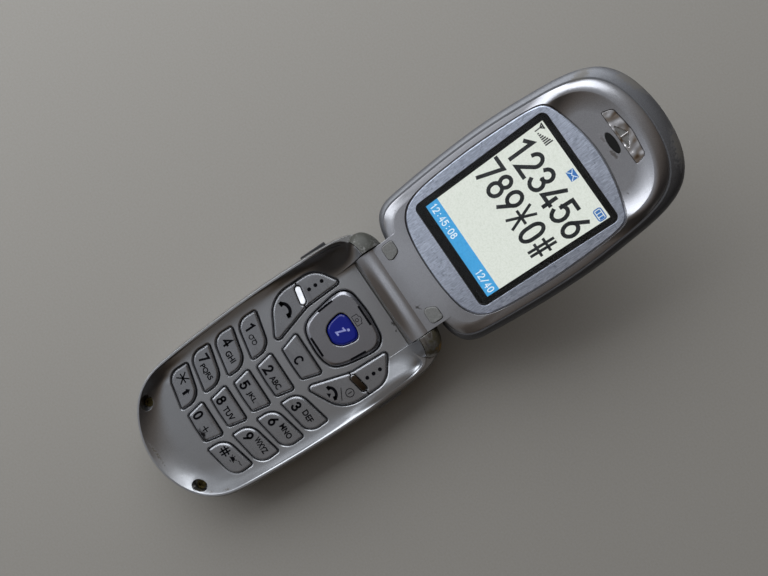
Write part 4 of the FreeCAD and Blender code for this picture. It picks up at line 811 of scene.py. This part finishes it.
# Bezel round the screen
# Thin aluminium plate, brushed lengthways and anodised pale lavender, stuck in
# a recess of the inner shell.

# Real brushing lines are about 0.05 mm apart; they are drawn this far apart to show
BRUSH_PITCH = 0.2

# Brushing draws the light out into streaks, and wear has pitted the dye
bezel, tree, shader, place = new_material("brushed_lavender_aluminium")
streaks = pattern(tree, place, BRUSH_PITCH, 3.0, (1.0, 0.12, 0.12))
pits = pattern(tree, place, 0.7, 6.0)
bezel_colour = tones(tree, streaks, "a0a7b7", "ccd3e2", 0.3, 0.7)
bezel_colour = mixed(tree, span(tree, pits, 0.0, 0.45, 0.56, 0.7), bezel_colour, linear("6f7688"))
tree.links.new(grimed_and_shaded(tree, bezel_colour), shader.inputs["Base Color"])
tree.links.new(span(tree, streaks, 0.32, 0.45), shader.inputs["Roughness"])
shader.inputs["Metallic"].default_value = 0.9
shader.inputs["Anisotropic"].default_value = 0.4
soft_edges(tree, shader, streaks, 0.006, 0.15)
finish_node("display_bezel", bezel)


# Screen
# A lit colour LCD under a clear cast acrylic window, with a black border
# printed on the window's back round the picture.

lid_hinge = next(j for j in frame["joints"] if j["name"] == "lid_hinge")
OPEN_TILT = math.radians(180.0 - lid_hinge["range_deg"][1])
LID = Matrix.Translation(lid_hinge["pos_m"]) @ Matrix.Rotation(OPEN_TILT, 4, "X")

# Places on the lid laid flat: across, from the hinge's axis, and above it
LCD_LEFT, LCD_RIGHT = -14.0, 14.0
LCD_LOW, LCD_HIGH = 21.2, 56.3
LOWER_BAR_TOP = 24.84
PANEL_TOP = 1.4
PICTURE_Z = (PANEL_TOP + 0.02, PANEL_TOP + 0.05)
CELL_Z = (PANEL_TOP + 0.05, PANEL_TOP + 0.08)
WHITE_CELL_Z = (CELL_Z[1], CELL_Z[1] + 0.03)
# Real pixels are 0.22 mm wide; they are drawn this wide so that they show
PIXEL_SIZE = 0.5


def on_lid(piece, material):
    """Turns a piece drawn on the flat lid to the open lid's place, and finishes it."""
    piece.data.transform(LID)
    piece.data.materials.clear()
    piece.data.materials.append(material)
    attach(piece, "lid")


def lit(name, colour, darker):
    """Light from one part of the picture, as bright as its colour is written, with the
    faint mesh of its pixels."""
    material, tree, shader, place = new_material(name)
    pixels = pattern(tree, place, PIXEL_SIZE, 1.0)
    tree.links.new(tones(tree, pixels, darker, colour, 0.2, 0.6), shader.inputs["Emission Color"])
    shader.inputs["Emission Strength"].default_value = 1.0
    shader.inputs["Base Color"].default_value = linear("0c0c0c")
    shader.inputs["Roughness"].default_value = 0.5
    return material


def rounded_rectangle(x0, x1, y0, y1, radius):
    """Outline of an upright rectangle with rounded corners."""
    centres = (
        (x1 - radius, y1 - radius), (x0 + radius, y1 - radius),
        (x0 + radius, y0 + radius), (x1 - radius, y0 + radius),
    )
    points = []
    for quarter, (cx, cy) in enumerate(centres):
        points += arc(cx, cy, radius, radius, quarter * 90, quarter * 90 + 90, 6)
    return points


def rectangle(x0, x1, y0, y1):
    """Corners of an upright rectangle."""
    return [(x0, y0), (x1, y0), (x1, y1), (x0, y1)]


paper = lit("lcd_pale_green_light", "dfe4dc", "d3d9cf")
sky_bar = lit("lcd_blue_light", "43a4de", "3496d4")
dark_cells = lit("lcd_black_cells", "12171a", "0a0d10")
page_area = rectangle(LCD_LEFT, LCD_RIGHT, LOWER_BAR_TOP, LCD_HIGH)
on_lid(flat_shape("lcd_paper", [page_area], *PICTURE_Z), paper)
bar_area = rectangle(LCD_LEFT, LCD_RIGHT, LCD_LOW, LOWER_BAR_TOP)
on_lid(flat_shape("lcd_bar", [bar_area], *PICTURE_Z), sky_bar)

# Dialled number: each line's middle and height, and each figure's sign, centre and width
STROKE, THIN_STROKE = 1.0, 0.72
FIRST_LINE_AT, FIRST_LINE_HEIGHT = 48.4, 7.25
SECOND_LINE_AT, SECOND_LINE_HEIGHT = 39.4, 7.3
FIRST_LINE = (
    ("1", -11.75, 2.4), ("2", -7.1, 4.1), ("3", -2.4, 4.1),
    ("open 4", 2.2, 4.1), ("5", 6.85, 4.0), ("6", 11.4, 4.0),
)
SECOND_LINE = (
    ("7", -11.65, 4.2), ("8", -7.1, 4.1), ("9", -2.45, 4.15),
    ("*", 2.2, 4.0), ("0", 6.8, 3.85), ("#", 11.2, 3.6),
)
dark_signs = []
for sign, x, width in FIRST_LINE:
    size = (width, FIRST_LINE_HEIGHT)
    dark_signs.append(figure(sign, (x, FIRST_LINE_AT), size, STROKE, *CELL_Z))
for sign, x, width in SECOND_LINE:
    size = (width, SECOND_LINE_HEIGHT)
    stroke = THIN_STROKE if sign in "*#" else STROKE
    dark_signs.append(figure(sign, (x, SECOND_LINE_AT), size, stroke, *CELL_Z))

# Signal sign: a mast, and seven bars that grow to the right
MAST_STROKE = 0.3
SIGNAL_STROKE, SIGNAL_PITCH, SIGNAL_STEP = 0.36, 0.55, 0.28
mast_lines = [
    [(-13.6, 55.7), (-12.2, 55.7)], [(-12.9, 55.7), (-12.9, 53.6)],
    [(-13.6, 55.7), (-12.9, 54.9)], [(-12.2, 55.7), (-12.9, 54.9)],
]
dark_signs.append(ribbon("mast", mast_lines, MAST_STROKE, *CELL_Z))
signal_lines = []
for i in range(7):
    x = -12.0 + SIGNAL_PITCH * i
    signal_lines.append([(x, 53.6), (x, 54.0 + SIGNAL_STEP * i)])
dark_signs.append(ribbon("signal", signal_lines, SIGNAL_STROKE, *CELL_Z, ends=0.0))
on_lid(join("lcd_numbers", dark_signs), dark_cells)

# An envelope in the middle, and a battery with three bars of charge at the right
CASE_STROKE = 0.28
CHARGE_WIDTH = 0.65
note_blue = lit("lcd_note_blue_light", "2f6fb5", "2661a3")
case_line = rounded_rectangle(10.75, 13.65, 53.75, 55.65, 0.5) + [(13.65, 55.15)]
blue_signs = [
    flat_shape("envelope", [rectangle(-0.55, 2.1, 53.75, 55.75)], *CELL_Z),
    ribbon("case", [case_line], CASE_STROKE, *CELL_Z),
]
for x in (11.1, 11.95, 12.8):
    charge = rectangle(x, x + CHARGE_WIDTH, 54.1, 55.3)
    blue_signs.append(flat_shape("charge", [charge], *CELL_Z))
on_lid(join("lcd_notes", blue_signs), note_blue)

FLAP_STROKE = 0.16
white_cells = lit("lcd_white_cells", "e6f2f8", "d6e6ee")
flap_lines = [
    [(-0.4, 55.5), (0.78, 54.6), (1.95, 55.5)],
    [(-0.4, 54.0), (0.35, 54.75)], [(1.95, 54.0), (1.2, 54.75)],
]
white_signs = [ribbon("flap", flap_lines, FLAP_STROKE, *WHITE_CELL_Z)]
# Plain numbers in the bar, each with its first sign's centre and its pitch: a clock at
# the left and a count of signs at the right
BAR_TEXTS = (("12:45:08", -12.9, 1.32), ("12/40", 7.5, 1.35))
BAR_TEXT_AT, BAR_TEXT_HEIGHT = 22.95, 2.0
SLIM_WIDTH, BAR_TEXT_WIDTH = 0.5, 1.1
BAR_TEXT_STROKE = 0.26
for text, start, pitch in BAR_TEXTS:
    for i, sign in enumerate(text):
        centre = (start + pitch * i, BAR_TEXT_AT)
        size = (SLIM_WIDTH if sign in ":1" else BAR_TEXT_WIDTH, BAR_TEXT_HEIGHT)
        white_signs.append(figure(sign, centre, size, BAR_TEXT_STROKE, *WHITE_CELL_Z))
on_lid(join("lcd_signs", white_signs), white_cells)

# Matt black screen print, which mirrors next to nothing and hides the panel's edge
BORDER_Z = (1.55, 1.62)
black_print, tree, shader, place = new_material("black_screen_print")
print_colour = tones(tree, pattern(tree, place, 2.0), "030304", "070709")
tree.links.new(print_colour, shader.inputs["Base Color"])
shader.inputs["Roughness"].default_value = 0.6
shader.inputs["Specular IOR Level"].default_value = 0.2
opening = rectangle(LCD_LEFT, LCD_RIGHT, LCD_LOW, LCD_HIGH)
border_edge = rounded_rectangle(-15.6, 15.6, 18.65, 57.85, 1.7)
on_lid(flat_shape("window_border", [border_edge, opening], *BORDER_Z), black_print)

# Polished clear acrylic has an IOR of 1.49; the lower one mirrors the room as faintly as
# a window with a coat against reflections
WINDOW_Z = (1.64, 2.1)
acrylic, tree, shader, place = new_material("clear_cast_acrylic")
shader.inputs["Base Color"].default_value = linear("fbfcfc")
tree.links.new(span(tree, pattern(tree, place, 6.0), 0.0, 0.03), shader.inputs["Roughness"])
shader.inputs["IOR"].default_value = 1.25
shader.inputs["Transmission Weight"].default_value = 1.0
window_edge = rounded_rectangle(-15.67, 15.67, 18.58, 57.92, 1.72)
window = flat_shape("screen_window", [window_edge], *WINDOW_Z)
on_lid(window, acrylic)
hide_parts("display_window")

# Dark smooth glass behind the picture
glass, tree, shader, place = new_material("lcd_cell_glass")
glass_colour = tones(tree, pattern(tree, place, 4.0), "3a3d3a", "4a4e49")
tree.links.new(glass_colour, shader.inputs["Base Color"])
shader.inputs["Roughness"].default_value = 0.12
finish_node("lcd_panel", glass)


# Ear pad, neck pads and other rubber
# Moulded rubber: a black oval pad below the earpiece, two dull grey pads
# pressed over the screws in the hinge neck, the socket cover and the key mat.

def rubber(name, dark, light, roughness):
    """Moulded rubber: dull from handling, slightly grainy, with dust and painted shade in corners."""
    material, tree, shader, place = new_material(name)
    grain = pattern(tree, place, 0.5)
    tree.links.new(grimed_and_shaded(tree, tones(tree, grain, dark, light)), shader.inputs["Base Color"])
    tree.links.new(span(tree, grain, roughness - 0.05, roughness + 0.05), shader.inputs["Roughness"])
    shader.inputs["Specular IOR Level"].default_value = 0.25
    soft_edges(tree, shader, grain, 0.01, 0.2)
    return material


finish_node("ear_pad", rubber("black_rubber", "060606", "0e0d0d", 0.6))
finish_node("neck_pads", rubber("grey_rubber", "6b6b69", "7b7b79", 0.7))
finish_node("jack_cover", rubber("silver_grey_rubber", "6b6b6e", "7e7e81", 0.6))
finish_node("volume_rocker", rubber("dark_grey_rubber", "1f1f21", "2a2a2c", 0.6))
finish_node("key_mat", rubber("dark_silicone", "1c1c1e", "29292b", 0.6))


# Screws, pins and stamped metal
# Blackened steel screws, ground steel hinge pins, tinned steel cans, gold
# plated battery springs and the turned ring round the camera.

def metal(name, dark, light, roughness, grain_mm):
    """Bare or plated metal: a clean shine, broken up by the marks of its making."""
    material, tree, shader, place = new_material(name)
    grain = pattern(tree, place, grain_mm, 4.0)
    tree.links.new(tones(tree, grain, dark, light), shader.inputs["Base Color"])
    tree.links.new(span(tree, grain, roughness - 0.08, roughness + 0.08), shader.inputs["Roughness"])
    shader.inputs["Metallic"].default_value = 1.0
    soft_edges(tree, shader, grain, 0.01, 0.1)
    return material


screw_steel = metal("blackened_screw_steel", "2b2419", "5f5636", 0.42, 0.6)
tin = metal("tinned_steel_sheet", "9a9a98", "b4b4b2", 0.3, 1.5)
for name in ("housing_screws", "lid_screws"):
    finish_node(name, screw_steel)
hinge_steel = metal("ground_steel", "7d7d7c", "a3a3a1", 0.25, 0.4)
for name in ("hinge_pin", "hinge_shaft", "hinge_cartridge"):
    finish_node(name, hinge_steel)
for name in ("shield_can", "sim_holder", "data_connector", "vibration_motor", "microphone", "earpiece"):
    finish_node(name, tin)
finish_node("battery_contacts", metal("gold_plated_bronze", "b08a3c", "d8b45c", 0.25, 0.5))
finish_node("camera_ring", metal("turned_aluminium_ring", "8e8e90", "adadaf", 0.25, 0.3))


# Boards, films and moulded inner pieces
# Glass-fibre boards under green solder mask, the film with the key domes, and
# plain moulded carriers, all inside the closed shells.

# Solder mask is a glossy varnish, mottled by the copper under it
board, tree, shader, place = new_material("green_solder_mask")
mask_colour = tones(tree, pattern(tree, place, 1.2, 5.0), "0d3b26", "1b5a3b")
tree.links.new(mask_colour, shader.inputs["Base Color"])
shader.inputs["Roughness"].default_value = 0.3
for name in ("main_board", "lid_board"):
    finish_node(name, board)


def moulded(name, dark, light, roughness):
    """Unpainted plastic: an even colour with a faint grain from its mould."""
    material, tree, shader, place = new_material(name)
    grain = pattern(tree, place, 0.8)
    tree.links.new(tones(tree, grain, dark, light), shader.inputs["Base Color"])
    tree.links.new(span(tree, grain, roughness - 0.06, roughness + 0.06), shader.inputs["Roughness"])
    soft_edges(tree, shader, grain, 0.01)
    return material


finish_node("dome_sheet", moulded("polyester_dome_film", "b3ae9c", "c6c1ae", 0.35))
finish_node("internal_antenna", moulded("cream_moulded_nylon", "bdb8a8", "cfcabb", 0.5))
finish_node("nav_pivot", moulded("grey_moulded_acetal", "2b2b2d", "39393b", 0.45))
finish_node("lcd_backlight", moulded("white_moulded_frame", "dcdcd8", "ececea", 0.5))
black_plastic = moulded("black_moulded_nylon", "121214", "1e1e20", 0.5)
for name in ("headset_jack", "camera_module", "sub_display_panel"):
    finish_node(name, black_plastic)
finish_node("flex_cable", moulded("amber_polyimide_film", "8a4f14", "a8661f", 0.35))


# Outside window and camera lens
# Cast acrylic tinted almost black in front of the small outside display, and
# the camera's lens, both polished smooth.

tinted, tree, shader, place = new_material("smoked_acrylic")
tinted_colour = tones(tree, pattern(tree, place, 5.0), "0a0a0d", "141418")
tree.links.new(tinted_colour, shader.inputs["Base Color"])
shader.inputs["Roughness"].default_value = 0.06
shader.inputs["IOR"].default_value = 1.49
shader.inputs["Coat Weight"].default_value = 0.6
for name in ("sub_display_window", "camera_lens"):
    finish_node(name, tinted)


# Floor
# A plain matt desk top in pale grey, flat and far wider than the view, so that
# it shows nothing but the phone's shadow.

FLOOR_REACH = 1.5

desk, tree, shader, place = new_material("matt_pale_desk")
desk_colour = tones(tree, pattern(tree, place, 0.6, 6.0), "938f88", "98948e", 0.3, 0.7)
tree.links.new(desk_colour, shader.inputs["Base Color"])
shader.inputs["Roughness"].default_value = 0.75
floor_mesh = bpy.data.meshes.new("floor")
floor_edge = rectangle(-FLOOR_REACH, FLOOR_REACH, -FLOOR_REACH, FLOOR_REACH)
floor_mesh.from_pydata([(x, y, 0) for x, y in floor_edge], [], [(0, 1, 2, 3)])
floor = bpy.data.objects.new("floor", floor_mesh)
bpy.context.scene.collection.objects.link(floor)
floor_mesh.materials.append(desk)


# Light
# One wide soft lamp at the phone's left, and a room that is bright on that
# side and towards the chin, and dark on the other.

WINDOW_SIDE = Vector((-0.96, -0.24, 0.1)).normalized()
ROOM_STRENGTH = 0.98
# Place on the way from the dark side to the window side, and the room's colour there
ROOM_TONES = (
    (0.0, "120c07"), (0.15, "1a120a"), (0.25, "32281e"), (0.38, "625547"), (0.5, "807a74"),
    (0.575, "8c8b8a"), (0.65, "9fa1a4"), (0.75, "bcc0c6"), (0.9, "e8edf4"), (1.0, "f6faff"),
)
LAMP_WIDTH, LAMP_HEIGHT = 1.05, 0.6
LAMP_WATTS = 4.9
LAMP_COLOUR = (0.93, 0.965, 1.0)
LAMP_PLACE = (-0.45, 0.02, 0.25)

world = bpy.data.worlds.new("room")
bpy.context.scene.world = world
world.use_nodes = True
tree = world.node_tree
tree.nodes.clear()
towards = add(tree, "ShaderNodeTexCoord").outputs["Generated"]
facing = add(tree, "ShaderNodeVectorMath", {0: towards, 1: WINDOW_SIDE}, operation="DOT_PRODUCT")
way = span(tree, facing.outputs["Value"], 0.0, 1.0, -1.0, 1.0)
room = add(tree, "ShaderNodeValToRGB", {"Fac": way})
stops = room.color_ramp.elements
stops.remove(stops[1])
stops[0].position = ROOM_TONES[0][0]
stops[0].color = linear(ROOM_TONES[0][1])
for position, tone in ROOM_TONES[1:]:
    stops.new(position).color = linear(tone)
backdrop = add(tree, "ShaderNodeBackground", {
    "Color": room.outputs["Color"], "Strength": ROOM_STRENGTH,
})
add(tree, "ShaderNodeOutputWorld", {"Surface": backdrop.outputs["Background"]})

lamp_data = bpy.data.lights.new("window_lamp", "AREA")
lamp_data.shape = "RECTANGLE"
lamp_data.size = LAMP_WIDTH
lamp_data.size_y = LAMP_HEIGHT
lamp_data.energy = LAMP_WATTS
lamp_data.color = LAMP_COLOUR
lamp = bpy.data.objects.new("window_lamp", lamp_data)
bpy.context.scene.collection.objects.link(lamp)
lamp.location = LAMP_PLACE
lamp.rotation_euler = (Vector((0, 0, 0)) - lamp.location).to_track_quat("-Z", "Y").to_euler()


# Camera
# Nearly straight above the keypad, turned so that the phone lies across the
# frame. Its place is in mm and its turns are in degrees.

CAMERA_PLACE = (6.40, 37.92, 181.63)
CAMERA_TURNS = (2.6468, 1.8606, 56.0743)
CAMERA_LENS = 29.16
SENSOR_WIDTH = 36.0

camera_data = bpy.data.cameras.new("camera")
camera_data.sensor_width = SENSOR_WIDTH
camera_data.lens = CAMERA_LENS
camera_data.clip_start = MM
camera = bpy.data.objects.new("camera", camera_data)
bpy.context.scene.collection.objects.link(camera)
camera.location = Vector(CAMERA_PLACE) * MM
camera.rotation_euler = [math.radians(a) for a in CAMERA_TURNS]
bpy.context.scene.camera = camera
bpy.context.scene.view_settings.view_transform = "Standard"
